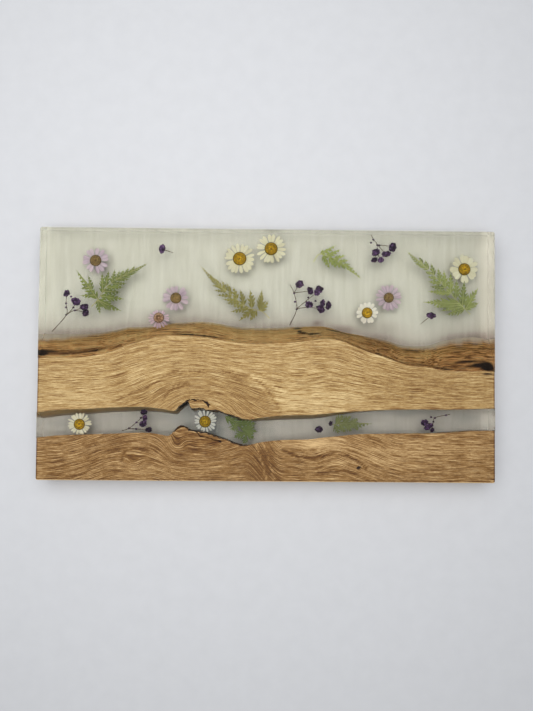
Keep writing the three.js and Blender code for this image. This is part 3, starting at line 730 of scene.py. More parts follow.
UPPER_OAK = oak_paint("upper_oak", srgb(98, 62, 24), srgb(162, 130, 79), srgb(215, 190, 140))
LOWER_OAK = oak_paint("lower_oak", srgb(70, 38, 10), srgb(128, 92, 46), srgb(202, 170, 121))
# The last colour given to each resin is the tint of its painted shade
FIELD_RESIN = resin_paint("field_resin", FIELD_ABSORPTION, srgb(196, 184, 183))
RIVER_RESIN = resin_paint("river_resin", RIVER_ABSORPTION, srgb(196, 206, 214))
PETALS = {
    "white": petal_paint("white_petal", srgb(240, 236, 178), srgb(255, 255, 248), srgb(234, 231, 214)),
    "lilac": petal_paint("lilac_petal", srgb(208, 180, 186), srgb(238, 218, 234), srgb(198, 166, 194)),
}
SOAKED_PETALS = {
    "white": petal_paint(
        "soaked_white_petal", srgb(246, 241, 184), srgb(255, 254, 232), srgb(232, 227, 194),
    ),
    "lilac": petal_paint(
        "soaked_lilac_petal", srgb(214, 200, 196), srgb(238, 223, 237), srgb(172, 145, 178),
    ),
}
EYES = {
    "white": eye_paint(
        "yellow_eye", (150, 104, 4), (252, 206, 16), (196, 150, 8), (216, 174, 20), (112, 82, 6),
    ),
    "lilac": eye_paint(
        "brown_eye", (150, 112, 66), (186, 156, 96), (160, 132, 78), (176, 148, 92), (118, 92, 54),
    ),
    "ringed": eye_paint(
        "ringed_eye", (250, 208, 166), (150, 106, 62), (216, 178, 136), (222, 186, 152), (160, 122, 88),
    ),
}
FERN_COLOURS = [
    (srgb(46, 66, 12), srgb(132, 150, 62), srgb(194, 192, 138)),
    (srgb(100, 97, 26), srgb(160, 155, 70), srgb(198, 192, 138)),
    (srgb(104, 126, 40), srgb(172, 186, 100), srgb(204, 208, 142)),
    (srgb(74, 92, 30), srgb(164, 176, 100), srgb(200, 204, 150)),
    (srgb(84, 104, 44), srgb(132, 150, 84), srgb(150, 162, 104)),
    (srgb(92, 104, 56), srgb(146, 156, 98), srgb(168, 172, 122)),
]
BLOSSOM = blossom_paint()
STALK = stalk_paint()


# Planks
def spots(x, y, patches):
    """Sum of soft oval patches (x, y, half length, half width, strength)"""
    total = np.zeros(np.broadcast(x, y).shape)
    for at_x, at_y, long, wide, strength in patches:
        total = total + strength * np.exp(-(((x - at_x) / long) ** 2) - ((y - at_y) / wide) ** 2)
    return total


def near_line(x, y, points):
    """Distance to a line of points"""
    nearest = np.full(x.shape, np.inf)
    for (ax, ay), (bx, by) in zip(points, points[1:]):
        dx, dy = bx - ax, by - ay
        t = np.clip(((x - ax) * dx + (y - ay) * dy) / (dx * dx + dy * dy), 0, 1)
        nearest = np.minimum(nearest, np.hypot(x - ax - t * dx, y - ay - t * dy))
    return nearest


def ripple(x, y):
    """Small wanderings of the grain"""
    return 1.6 * perlin(x / 30, y / 14, 0.4) + 0.4 * perlin(x / 11, y / 5, 5.2)


# Knot under the arching grain of the upper plank: its centre, half length and height
KNOT_X, KNOT_Y = -70, -58
KNOT_LONG, KNOT_HIGH = 86, 41

# The arch widens and fades upwards, where the grain follows most of the natural edge's rise and fall
ARCH_HEIGHT = 34
ARCH_FADE = 65
ARCH_SHIFT = 4
ARCH_HALF, ARCH_WIDENING = 38, 36
EDGE_FOLLOWING = 0.85


def upper_flow(x, y):
    """Place across the grain, which arches over the knot below and follows the natural edge above"""
    up = np.clip((y - KNOT_Y) / ARCH_FADE, 0, 1)
    arch = ARCH_HEIGHT * np.exp(-(((x - KNOT_X - ARCH_SHIFT) / (ARCH_HALF + ARCH_WIDENING * up)) ** 2))
    return y - up * EDGE_FOLLOWING * live_top(x) - (1 - up) * arch + ripple(x, y)


# Swells of the lower plank's grain: (x, y, half length, half width, strength)
LOWER_SWELLS = [
    (-66, -101, 42, 17, 14), (-92, -92, 9, 14, 5), (-133, -112, 12, 9, 8), (68, -100, 12, 14, -4),
    (45, -108, 14, 14, 4),
]

# Its climb and fall along the board: (from x, to x, rise)
LOWER_CLIMBS = [(-215, -130, 20), (-124, -84, -8), (-24, 18, -42), (70, 140, -19)]


def lower_flow(x, y):
    """Place across the grain of the lower plank"""
    across = y + spots(x, y, LOWER_SWELLS) + ripple(x + 40, y)
    for begin, end, rise in LOWER_CLIMBS:
        across = across - rise * step_between(begin, end, x)
    return across


KNOT_SHADE = 0.16
PALE_EDGE = 0.2


def upper_shading(x, y):
    """Browner wood in the knot, with a ragged border that is sharp towards +X, and a pale natural edge"""
    far = np.hypot((x - KNOT_X) / KNOT_LONG, (y - KNOT_Y) / KNOT_HIGH) + 0.12 * perlin(x / 7, y / 7, 3.3)
    soft = 0.1 + 0.25 * (1 - step_between(-130, -40, x))
    edge = 1 - step_between(0.5, 3, live_top(x) - y)
    return PALE_EDGE * edge - KNOT_SHADE * (1 - step_between(1 - soft, 1.02, far))


# Darker and lighter patches of the top faces: (x, y, half length, half width, strength)
UPPER_TONES = [
    (-190, -45, 40, 16, 0.2), (62, -45, 46, 12, 0.34), (22, -45, 16, 16, 0.26), (170, -30, 60, 22, -0.2),
    (-8, -50, 16, 12, -0.16), (20, -8, 40, 6, 0.16), (-130, -20, 40, 10, 0.1), (140, -8, 24, 10, -0.1),
    (145, -42, 1.6, 1.2, -0.9),
]
LOWER_TONES = [
    (46, -89, 32, 6, 0.66), (-4, -108, 14, 22, -0.58), (-66, -90, 26, 9, -0.3), (-132, -114, 7, 4, 0.3),
    (150, -95, 70, 14, 0.28), (100, -106, 30, 12, 0.14), (-86, -100, 8, 12, -0.2), (-105, -118, 24, 6, 0.2),
    (-190, -100, 40, 20, -0.05),
]

# Single dark or light grain lines: their points and strength
UPPER_LINES = [
    ([
        (-155, -49), (-137, -41), (-122, -35), (-112, -29), (-102, -22), (-92, -18.5), (-72, -17),
        (-38, -18.5),
    ], -0.5),
    ([(-104, -47), (-99, -38), (-92, -32), (-78, -30)], -0.5),
    ([(-38, -18.5), (-17, -23), (-5, -29), (2, -38), (8, -47), (14, -57)], -0.4),
    ([(-36, -15), (-17, -20.5), (-5, -26.5), (8, -33), (18, -38)], 0.5),
]
LOWER_LINES = [
    ([(15.6, -95), (32.6, -102), (47.6, -103), (67.6, -99), (82.6, -101), (94.6, -108), (101, -113)], -0.85),
    ([(52.6, -117.2), (65, -118), (77.6, -115), (88, -119), (102.6, -126)], -0.6),
    ([(-12.4, -85.3), (-7, -100), (0.6, -125)], 0.6),
    ([(-5, -86), (1, -100), (8, -125)], 0.4),
    ([(-145, -108), (-142, -98), (-132, -94.5), (-118, -97)], -0.5),
    ([(-178, -116), (-168, -103), (-150, -92), (-120, -84)], -0.2),
]
LINE_HALF = 1.6
EDGE_LINE = 2.0

# Black spots of the top faces, as patches, and the lines of their cracks
PINHOLES = [(92.6, -112.4, 1.5, 1.3, 2.4), (-131, -113, 1.2, 1.0, 0.7), (222, -17.5, 7, 1.4, 1.0)]
UPPER_CRACKS = [
    [(-81, -47), (-77, -46.2), (-70, -46), (-64, -47), (-59, -50), (-58.5, -53)],
    [(-66, -46.5), (-60, -48), (-57, -51)],
]
LOWER_CRACKS = [
    [(-78, -76), (-70, -78), (-66.5, -82), (-57, -84.5), (-46, -87.5)],
    [(-92, -77), (-88, -73.5), (-83, -72.6)],
]
CRACK_HALF = 0.5
CRACK_DEPTH = 0.8

# Along the crack's roughest stretch the banks are ragged and black: width of the rim, size of the bulges
RAGGED_FROM, RAGGED_TO = -90, -14
RIM_WIDTH = 1.5
RAG_BULGE = 1.3
RIM_BLACK, CRACK_BLACK = 1.2, 1.4
TEAR_SIZE, TEAR_SHIFT = 2.6, 0.9

# Bark and painted shade on the natural edge: (x, depth, half length, half depth, strength)
# The long shallow patches just under the top line are painted shade under the edge, the rest is bark
LIVE_BARK_AND_SHADE = [
    (-228, 4, 6, 2.2, 1.2), (-218, 5.4, 9, 0.8, 0.8), (-190, 5.0, 30, 1.8, 0.42), (-170, 4.6, 14, 1.4, 0.34),
    (-205, 3.2, 26, 0.9, 0.6), (-70, 2.2, 34, 1.3, 0.9), (31, 22.5, 5, 1.6, 1.2), (33, 15, 2.5, 3, 1.3),
    (37, 11, 3, 1.4, 1.2), (43, 8.8, 5, 1.0, 1.1), (52, 9, 5, 0.9, 0.95), (66, 20.5, 8, 1.3, 0.9),
    (80, 22, 9, 1.3, 0.9), (112, 1.4, 46, 1.4, 0.55), (149, 18, 12, 1.2, 0.9), (122, 15, 10, 1.0, 0.7),
    (178, 1.6, 30, 1.2, 0.45), (202, 5.6, 14, 0.8, 1.0), (210, 3, 10, 0.8, 0.9), (223, 2.6, 8, 3.2, 1.25),
    (197, 15, 12, 1.2, 0.7),
]

# Darker and lighter stretches of the natural edge: (x, depth, half length, half depth, strength)
LIVE_TONES = [
    (140, 6, 60, 14, -0.32), (-60, 12, 120, 12, 0.12), (-195, 5, 45, 4, -0.5), (205, 9, 34, 12, -0.38),
]

# Depth at which the painted haze over the natural edge begins: [x, depth]
LIVE_HAZE = [
    (-230, 12), (-205, 16), (-182, 19), (-150, 20), (-120, 20), (-60, 20), (25, 20), (60, 24), (95, 22),
    (120, 19), (150, 18), (180, 17), (230, 18),
]
haze_start = smooth_line(LIVE_HAZE)
HAZE_DEPTH = 8
BANK_HAZE = 0.6
BANK_HAZE_FROM, BANK_HAZE_TO = 12, 26

# Bark on the banks of the crack: (x, depth, half length, half depth, strength)
NORTH_BARK = [(-82, 8, 8, 14, 1.2), (-42, 3, 26, 5, 0.9), (-42, 14, 26, 9, 0.6)]
SOUTH_BARK = [(-86, 3, 7, 7, 0.9), (-40, 3, 24, 5, 0.9), (-40, 14, 24, 9, 0.6)]
# Painted light: each plank's south wall is painted lighter; on the upper plank it stands in for the light on
# the crack's sloped bank
BANK_PAINTED_LIGHT = 1.0

# How far the grain drifts across per millimetre of depth, on the top, north, under and south faces
GRAIN_DRIFT = np.array([0.0, 0.5, -0.8, -0.5])
WALL_DEPTHS = np.array([
    0, 0.3, 0.8, 1.4, 2, 2.8, 3.6, 4.6, 5.6, 6.8, 8, 9.5, 11, 12.5, 14, 16, 18, 20, 22, 24, 26,
])
OUTER_DEPTHS = np.array([0, 0.04, 0.12, 0.5, 1, 4, 8, 13, 18, 22, 25, 25.5, 25.88, 25.96, 26])
ALL_DEPTHS = np.union1d(WALL_DEPTHS, OUTER_DEPTHS)
BANK_SHARES = np.concatenate([np.linspace(0, 0.22, 24), np.linspace(0.25, 1, 24)])


def ragged_span(x):
    return step_between(RAGGED_FROM - 4, RAGGED_FROM + 2, x) * (1 - step_between(RAGGED_TO - 8, RAGGED_TO, x))


def ragged(wall, outwards):
    """A bank with broken bulges along its top line"""
    def broken_wall(x, depth):
        lumps = np.clip(perlin(x / 2.4, depth / 6, 2.2) + 0.6 * perlin(x / 1.1, depth / 3, 6.6) + 0.1, 0, 1)
        return wall(x, depth) + outwards * RAG_BULGE * lumps * ragged_span(x)
    return broken_wall


def jagged(x, y):
    """The same place shifted a little, so that lines drawn there look torn"""
    across, up = x / TEAR_SIZE, y / TEAR_SIZE
    return x + TEAR_SHIFT * perlin(across, up, 1.1), y + TEAR_SHIFT * perlin(across, up, 8.3)


EDGE_PAINTED_SHADE = 0.8


def plank(name, node, slab, material, look):
    """A plank with the marks that its material reads: grain, tone, natural skin, black marks and haze"""
    # The black marks hold bark, cracks, holes and painted shade; the tone holds painted light and shade
    # besides the wood's own colour, and the haze is a painted pale veil
    x, y, depth, face = slab.x, slab.y, slab.depth, slab.face
    south_y, north_y = y[:, :1], y[:, slab.count - 1:slab.count]
    edge_y = np.where(face == NORTH, north_y, np.where(face == SOUTH, south_y, y))
    across = look["flow"](x, edge_y) + GRAIN_DRIFT[face] * depth
    torn_x, torn_y = jagged(x, y)
    crack = np.zeros(x.shape)
    for points in look["cracks"]:
        gap = near_line(torn_x, torn_y, points) / (1 + 1.2 * perlin(x / 5, y / 5, 2.7))
        crack = np.maximum(crack, 1 - step_between(0.3 * CRACK_HALF, 1.5 * CRACK_HALF, gap))
    crack = np.where(face == TOP, crack, 0)
    slab.z = slab.z - CRACK_DEPTH * crack

    bank_gap = y - south_y if look["bank"] == SOUTH else north_y - y
    rim = RIM_WIDTH * (0.6 + perlin(x / 3, y / 3, 4.9))
    rim = RIM_BLACK * ragged_span(x) * (1 - step_between(0.3 * rim, rim + 0.2, bank_gap))
    black = np.maximum(CRACK_BLACK * crack, np.where(face == TOP, rim + spots(x, y, PINHOLES), 0))
    tone = spots(x, y, look["tones"]) + look["shading"](x, y)
    # Painted shade: the top face darkens along the board's south side and its ends, where the eased edge is
    # in shade
    for to_edge in (HALF_WIDTH + y, HALF_LENGTH - np.abs(x)):
        tone = tone - EDGE_PAINTED_SHADE * (1 - step_between(0.2, EDGE_LINE, to_edge))
    for points, strength in look["lines"]:
        line_gap = near_line(torn_x, torn_y, points)
        tone = tone + strength * (1 - step_between(0.2 * LINE_HALF, LINE_HALF, line_gap))

    # The cut ends are plain wood
    inner = np.ones(x.shape)
    inner[[0, -1]] = 0

    def on_walls(north, south):
        return np.where(face == NORTH, north, np.where(face == SOUTH, south, 0)) * inner

    # The natural edge's darker and lighter stretches, and painted light on each plank's south wall
    wall_tone = on_walls(spots(x, depth, LIVE_TONES), BANK_PAINTED_LIGHT)
    # Black patches on the walls, with painted shade under the natural edge's top line
    wall_bark_and_shade = on_walls(*(spots(x, depth, places) for places in look["bark_and_shade"]))
    # Haze: a painted pale veil, standing in for light that the milky resin scatters
    haze = look["haze"](x, depth, face)
    marks = {
        "grain": np.stack([x, across, depth], -1).reshape(-1, 3),
        "tone": np.where(face == TOP, tone, wall_tone).ravel(),
        "skin": (inner * np.array(look["skins"])[face]).ravel(),
        "bark_and_shade": np.maximum(wall_bark_and_shade, black).ravel(),
        "haze": on_walls(haze, haze).ravel(),
    }
    piece = add_piece(name, slab.points(), slab.faces(), [material], marks, sharp=40)
    stand_for(piece, "oak", node)


def no_mark(*place):
    """Nothing is marked anywhere"""
    return 0.0


def upper_haze(x, depth, face):
    """A painted pale veil over the lower part of the natural edge and of the crack's bank, standing in for
    light that the milky resin scatters
    """
    feather = 1.4 * perlin(x / 2.3, depth / 30, 9.1) + 1.6 * perlin(x / 9, depth / 30, 4.4)
    begin = haze_start(x) + feather
    live = step_between(begin, begin + HAZE_DEPTH, depth)
    bank = BANK_HAZE * step_between(BANK_HAZE_FROM, BANK_HAZE_TO, depth)
    return np.where(face == SOUTH, bank, live)


# Skins are the shares of natural skin on the top, north, under and south faces. The first list of black
# patches is that of the north wall, the second that of the south wall, and bank is the side of the crack; the
# upper plank's first list also holds painted shade.
UPPER_LOOK = dict(
    flow=upper_flow, tones=UPPER_TONES, lines=UPPER_LINES, cracks=UPPER_CRACKS, bank=SOUTH,
    skins=(0, 1, 0, 0.7), bark_and_shade=(LIVE_BARK_AND_SHADE, NORTH_BARK), shading=upper_shading, haze=upper_haze,
)
LOWER_LOOK = dict(
    flow=lower_flow, tones=LOWER_TONES, lines=LOWER_LINES, cracks=LOWER_CRACKS, bank=NORTH,
    skins=(0, 0.7, 0, 0), bark_and_shade=(SOUTH_BARK, []), shading=no_mark, haze=no_mark,
)
BANK_COARSENESS = 0.6


def make_planks():
    xs = stations(fine=True)
    north_side = ragged(fibrous(north_wall, -1, BANK_COARSENESS), -1)
    south_side = ragged(fibrous(south_wall, 1, BANK_COARSENESS), 1)
    upper = Slab(xs, north_side, fibrous(live_wall, 1), BANK_SHARES, WALL_DEPTHS, WOOD_INSET)
    plank("upper_plank", "oak_plank_upper", upper, UPPER_OAK, UPPER_LOOK)
    lower = Slab(xs, outer_wall(-1), south_side, 1 - BANK_SHARES[::-1], ALL_DEPTHS, WOOD_INSET)
    plank("lower_plank", "oak_plank_lower", lower, LOWER_OAK, LOWER_LOOK)


# Painted shade in the resin: its reach from the natural edge and its strength, and patches (x, y, half
# length, half width, strength) that darken the resin near the wood and near the ends. Wisps vary the river
# faintly.
WOOD_SHADOW_REACH = 26
WOOD_SHADOW_NEAR_REACH = 9
WOOD_SHADOW = 0.34
WISPS = 0.35
FIELD_SHADOW_PATCHES = [
    (204, 17, 24, 8, 0.24), (51, 33, 3, 2.4, 1.0), (78, 27, 14, 4, 0.4), (-180, 17, 34, 6, 0.3),
    (110, 16, 20, 5, 0.3), (122, 30, 20, 8, 0.2), (228, 70, 11, 90, 0.26),
]
RIVER_SHADOW_PATCHES = [(-60, -68, 36, 30, 0.45), (-208, -72, 10, 40, 0.1)]


def resin(name, slab, material, murk_and_shade):
    """One clear piece that stands for the base pour and the top pour"""
    marks = {"murk_and_shade": np.clip(murk_and_shade, 0, 1).ravel()}
    piece = add_piece(name, slab.points(), slab.faces(), [material], marks)
    stand_for(piece, "resin", name + "_base", name + "_top")


def make_resin():
    field = Slab(
        stations(), sunk(live_wall, -1), outer_wall(1, RESIN_EASE), np.linspace(0, 1, 40), ALL_DEPTHS,
        ease=RESIN_EASE,
    )
    # Painted shade: the field resin darkens within reach of the natural edge's foot, and in its patches
    beyond = field.y - live_wall(field.x, np.float64(THICKNESS))
    feather = 1 + 0.5 * perlin(field.x / 2.6, field.y / 30, 7.1)
    near = 1 - step_between(-2, WOOD_SHADOW_NEAR_REACH, beyond)
    far = 1 - step_between(-3, WOOD_SHADOW_REACH, beyond)
    murk_and_shade = feather * (WOOD_SHADOW * far + WOOD_SHADOW * near)
    resin("field_resin", field, FIELD_RESIN, murk_and_shade + spots(field.x, field.y, FIELD_SHADOW_PATCHES))
    river = Slab(
        stations(fine=True), sunk(south_wall, -1), sunk(north_wall, 1), np.linspace(0, 1, 9), WALL_DEPTHS,
        ease=RESIN_EASE,
    )
    # Painted shade: the river resin darkens in its patches, and faint wisps vary it
    wisps = WISPS * perlin(river.x / 18, river.y / 5, 2.6)
    resin("river_resin", river, RIVER_RESIN, spots(river.x, river.y, RIVER_SHADOW_PATCHES) + wisps - 0.05)


# Specimens
class Pile:
    """Points and faces of many small closed shapes that are joined in one mesh"""

    def __init__(self):
        self.points, self.faces, self.marks = [], [], []

    def add(self, points, faces, marks):
        first = len(self.points)
        self.points.extend(np.asarray(points).tolist())
        self.faces.extend([first + i for i in face] for face in faces)
        self.marks.extend(np.asarray(marks).tolist())

    def piece(self, name, materials, sharp=60):
        return add_piece(name, self.points, self.faces, materials, {"mark": self.marks}, sharp)


def turned(x, y, heading, out, aside):
    """The place that lies out along a heading from (x, y), and aside to the left of it"""
    cos, sin = math.cos(heading), math.sin(heading)
    return x + out * cos - aside * sin, y + out * sin + aside * cos


def add_sheet(pile, grid, thickness, *marks):
    """A thin closed sheet: a grid of points and a second one under it, joined round the rim. The marks
    are the places across and along the sheet and its chance value."""
    rows, columns, _ = grid.shape
    points = np.concatenate([grid.reshape(-1, 3), (grid - [0, 0, thickness]).reshape(-1, 3)])
    index = np.arange(rows * columns).reshape(rows, columns)
    corners = (index[:-1, :-1], index[:-1, 1:], index[1:, 1:], index[1:, :-1])
    upper = np.stack(corners, -1).reshape(-1, 4)
    lower = upper[:, ::-1] + rows * columns
    rim = np.concatenate([index[0], index[1:, -1], index[-1, -2::-1], index[-2:0:-1, 0]])
    after = np.roll(rim, -1)
    sides = np.stack([after, rim, rim + rows * columns, after + rows * columns], -1)
    faces = np.concatenate([upper, lower, sides]).tolist()
    spread = [np.broadcast_to(mark, (rows, columns)) for mark in marks]
    mark = np.stack(spread, -1).reshape(-1, 3)
    pile.add(points, faces, np.concatenate([mark, mark]))


# Petals: how many points they have, and their levels above the floor of the pocket in millimetres
PETAL_ROWS, PETAL_COLUMNS = 10, 7
PETAL_SHEET = 0.16
PETAL_LEVEL = 0.24
PETAL_LAYER = 0.13
PETAL_FOLD = 0.06
PETAL_DROOP = 0.05

# Shares of the eye's radius at which petals start and of their width there, and where their tips round off
PETAL_START = 0.55
PETAL_ROOT_WIDTH = 0.36
PETAL_FULL_FROM = 0.7
PETAL_TIP_FROM = 0.78
PETAL_TIP_CUT = 0.96

# How far each petal strays: share of its own room, share of its length and width, and bend in millimetres
PETAL_STRAY = 0.22
PETAL_LENGTHS = (0.92, 1.02)
PETAL_WIDTHS = (0.78, 1.12)
PETAL_BEND = 0.5

# Eyes: how fine they are, and the height of a floret and how far the eye reaches down in millimetres
EYE_RINGS, EYE_SIDES, FLORETS = 26, 72, 130
FLORET_HEIGHT = 0.25
FLORET_SPREAD = 0.96
FLORET_RADIUS = 1.05
EYE_SINK = 0.45
EYE_DIMPLE = 0.22
GOLDEN_ANGLE = math.pi * (3 - math.sqrt(5))


def heights_of(node):
    """The lowest and the highest level of a CAD node"""
    return [corner.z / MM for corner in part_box(node)]


def make_petals(daisy, draw):
    node = daisy["name"] + "_petals"
    low = heights_of(node)[0]
    radius = daisy["radius"]
    step = 2 * math.pi / daisy["petals"]
    rows, columns = np.linspace(0, 1, PETAL_ROWS), np.linspace(-1, 1, PETAL_COLUMNS)
    along, across = np.meshgrid(rows, columns, indexing="ij")
    start = daisy["eye"] * PETAL_START
    tip = np.clip((along - PETAL_TIP_FROM) / (1 - PETAL_TIP_FROM), 0, 1)
    outline = PETAL_ROOT_WIDTH + (1 - PETAL_ROOT_WIDTH) * step_between(0, PETAL_FULL_FROM, along)
    outline = outline * np.sqrt(1 - PETAL_TIP_CUT * tip**2)
    folds = PETAL_FOLD * np.cos(across * 2 * math.pi) - PETAL_DROOP * across**2
    pile = Pile()
    for i in range(daisy["petals"]):
        angle = i * step + draw.uniform(-PETAL_STRAY, PETAL_STRAY) * step
        towards = max(0, math.cos(angle - math.radians(daisy.get("short_at", 0))))
        reach = radius * (1 - daisy.get("short", 0) * towards) * draw.uniform(*PETAL_LENGTHS)
        half = 0.5 * step * radius * daisy["spread"] * draw.uniform(*PETAL_WIDTHS)
        out = start + (reach - start) * along
        aside = across * half * outline + draw.uniform(-PETAL_BEND, PETAL_BEND) * along**2
        lift = draw.uniform(-PETAL_DROOP, PETAL_DROOP) * along
        rise = low + PETAL_LEVEL + PETAL_LAYER * (i % 2) + folds + lift
        grid = np.stack([*turned(daisy["x"], daisy["y"], angle, out, aside), rise], -1)
        add_sheet(pile, grid, PETAL_SHEET, across, along, draw.random())
    colour = daisy["name"].split("_")[0]
    paints = SOAKED_PETALS if daisy.get("soaked") else PETALS
    piece = pile.piece("pressed_" + node, [paints[colour]])
    stand_for(piece, colour + "_petal", node)


def make_eye(daisy, draw):
    """A dome of florets set in a golden spiral"""
    node = daisy["name"] + "_eye"
    low, high = heights_of(node)
    low -= EYE_SINK
    radius = daisy["eye"]
    rings = np.arange(1, EYE_RINGS + 1) / EYE_RINGS
    spread, turn = np.meshgrid(rings, np.arange(EYE_SIDES) * 2 * math.pi / EYE_SIDES, indexing="ij")
    # The middle of the eye is the last point
    middle = spread.size
    spread, turn = np.append(spread, 0), np.append(turn, 0)
    x, y = spread * np.cos(turn), spread * np.sin(turn)

    order = np.arange(FLORETS)
    floret_out, floret_turn = FLORET_SPREAD * np.sqrt((order + 0.5) / FLORETS), order * GOLDEN_ANGLE
    floret_x, floret_y = floret_out * np.cos(floret_turn), floret_out * np.sin(floret_turn)
    chances = np.array([draw.random() for _ in order])
    apart = np.hypot(x[:, None] - floret_x, y[:, None] - floret_y)
    bump = np.clip(1 - (apart.min(-1) * math.sqrt(FLORETS) / FLORET_RADIUS) ** 2, 0, 1) ** 0.5
    dome = (1 - spread**2.6) ** 0.7 * (1 - EYE_DIMPLE * np.exp(-((spread / 0.3) ** 2)))
    height = (high - low - FLORET_HEIGHT) * dome + FLORET_HEIGHT * bump * (1 - spread**8)

    points = np.stack([x * radius + daisy["x"], y * radius + daisy["y"], low + height], -1)
    marks = np.stack([spread, bump, chances[apart.argmin(-1)]], -1)
    faces = ring_quads(EYE_RINGS, EYE_SIDES)
    faces += [(middle, side, (side + 1) % EYE_SIDES) for side in range(EYE_SIDES)]
    faces.append(range(middle - EYE_SIDES, middle)[::-1])
    pile = Pile()
    pile.add(points, faces, marks)
    colour = daisy["name"].split("_")[0]
    piece = pile.piece("pressed_" + node, [EYES["ringed" if daisy.get("ringed") else colour]])
    stand_for(piece, "yellow_eye" if colour == "white" else "brown_eye", node)


TUBE_SIDES = 7
TUBE_KNOBBLE = 0.18


def smooth_path(points, per_span=6):
    """More points along a line, rounded at its own points"""
    points = np.array(points, float)
    ends = np.concatenate([[2 * points[0] - points[1]], points, [2 * points[-1] - points[-2]]])
    path = []
    for a, b, c, d in zip(ends, ends[1:], ends[2:], ends[3:]):
        for t in np.arange(per_span) / per_span:
            bend = (2 * a - 5 * b + 4 * c - d) * t**2 + (3 * b - a - 3 * c + d) * t**3
            path.append(b + 0.5 * ((c - a) * t + bend))
    return np.array(path + [points[-1]])


def add_tube(pile, path, level, radius, tip_radius, chance=0.0):
    """A closed round stalk along a flat path"""
    count = len(path)
    along = np.gradient(path, axis=0)
    along = along / np.linalg.norm(along, axis=1)[:, None]
    across = np.stack([-along[:, 1], along[:, 0]], -1)
    thick = np.linspace(radius, tip_radius, count)
    thick = thick * (1 + TUBE_KNOBBLE * np.sin(np.arange(count) * 2.1))
    turn = np.arange(TUBE_SIDES) * 2 * math.pi / TUBE_SIDES
    flat = path[:, None] + across[:, None] * (thick[:, None] * np.cos(turn))[..., None]
    points = np.concatenate([flat, (level + thick[:, None] * np.sin(turn))[..., None]], -1).reshape(-1, 3)
    faces = ring_quads(count, TUBE_SIDES)
    faces += [range(TUBE_SIDES)[::-1], range(len(points) - TUBE_SIDES, len(points))]
    share = np.repeat(np.linspace(0, 1, count), TUBE_SIDES)
    pile.add(points, faces, np.stack([np.tile(np.sin(turn), count), share, share * 0 + chance], -1))


# Leaflets: levels above the pocket's floor, thickness and rib radii in millimetres
LEAF_SHEET = 0.16
LEAF_LEVELS = (0.24, 0.42)
LOBE_LAYER = 0.04
BLADE_RIDGE = 0.05
BLADE_DROOP = 0.06
RIB_RADII = (0.32, 0.12)
STEM_RADII = (0.46, 0.12)
STEM_LEVEL = 0.4
LOBE_STEP = 3.0
LEAST_REACH = 0.5

# A chance value above one tells the paint that a point is on a rib
RIB_CHANCE = 2.0
RIB_SHARE = 0.8
LOBE_SLANT = math.radians(39)
LONG_TIP = 10.5
LEAFLET_SPREAD = 1.42
LEAFLET_SWAY = 0.05
LOBES_END = 0.92
LOBE_LENGTHS = (0.85, 1.08)
LOBE_TURNS = (0.85, 1.15)

# Widths of a lobe and of the core that joins the lobes, from root to tip. The core of a slim leaflet is slim.
LOBE_HALF = 0.26
CORE_HALF, SLIM_CORE_HALF = 0.27, 0.12
LOBE_WIDTHS = np.array([1.0, 1.05, 0.9, 0.55, 0.1])
CORE_WIDTHS = np.array([0.3, 1.0, 0.9, 0.65, 0.35, 0.1])
BLADE_ACROSS = np.array([-1, 0, 1])


def add_blade(pile, root, heading, length, widths, level, chance):
    """A small pointed blade: one lobe of a leaflet, or the core of the leaflet that joins its lobes"""
    share = np.linspace(0, 1, len(widths))[:, None]
    width = widths[:, None] * BLADE_ACROSS
    rise = level + BLADE_RIDGE * (1 - np.abs(BLADE_ACROSS)) - BLADE_DROOP * share
    grid = np.stack([*turned(*root, heading, share * length, width), rise], -1)
    add_sheet(pile, grid, LEAF_SHEET, BLADE_ACROSS, share, chance)


def add_leaflet(pile, leaflet, spread, low, draw):
    """A lance-shaped leaflet: a midrib with pairs of lobes that slant towards its tip"""
    root_x, root_y, tip_x, tip_y, half_width = leaflet
    length = math.hypot(tip_x - root_x, tip_y - root_y)
    heading = math.atan2(tip_y - root_y, tip_x - root_x)
    slim = length > LONG_TIP * half_width
    pairs = max(3, round(length / (LOBE_STEP if slim else LOBE_STEP + 0.4 * half_width)))
    level = low + draw.uniform(*LEAF_LEVELS)
    chance = draw.random()
    sway = draw.uniform(-LEAFLET_SWAY, LEAFLET_SWAY) * length
    widths = LOBE_HALF * length / pairs * LOBE_WIDTHS
    for i in range(pairs):
        share = (i + 0.35) / pairs
        lance = (0.75 + 0.25 * step_between(0, 0.25, share)) * (1 - share) ** 0.85
        reach = spread * max(half_width * lance, LEAST_REACH) * draw.uniform(*LOBE_LENGTHS)
        bend = sway * math.sin(share * math.pi)
        root = turned(root_x, root_y, heading, share * length * LOBES_END, bend)
        for side in (-1, 1):
            slant = heading + side * LOBE_SLANT * draw.uniform(*LOBE_TURNS)
            layer = level + LOBE_LAYER * side * (-1) ** i
            add_blade(pile, root, slant, reach / math.sin(LOBE_SLANT), widths, layer, chance)
    core = (SLIM_CORE_HALF if slim else CORE_HALF) * spread * half_width * CORE_WIDTHS
    add_blade(pile, (root_x, root_y), heading, length, core, level + BLADE_RIDGE, chance)
    rib = [(root_x, root_y), turned(root_x, root_y, heading, RIB_SHARE * length, 0)]
    add_tube(pile, smooth_path(rib, 3), level + LOBE_LAYER, *RIB_RADII, RIB_CHANCE)


def make_fern(fern, colours, draw):
    node = fern["name"]
    low = heights_of(node)[0]
    pile = Pile()
    for leaflet in fern["leaflets"]:
        add_leaflet(pile, leaflet, fern.get("spread", LEAFLET_SPREAD), low, draw)
    add_tube(pile, smooth_path(fern["stem"]), low + STEM_LEVEL, *STEM_RADII, RIB_CHANCE)
    piece = pile.piece("pressed_" + node, [fern_paint(node + "_green", *colours)])
    stand_for(piece, "fern", node)


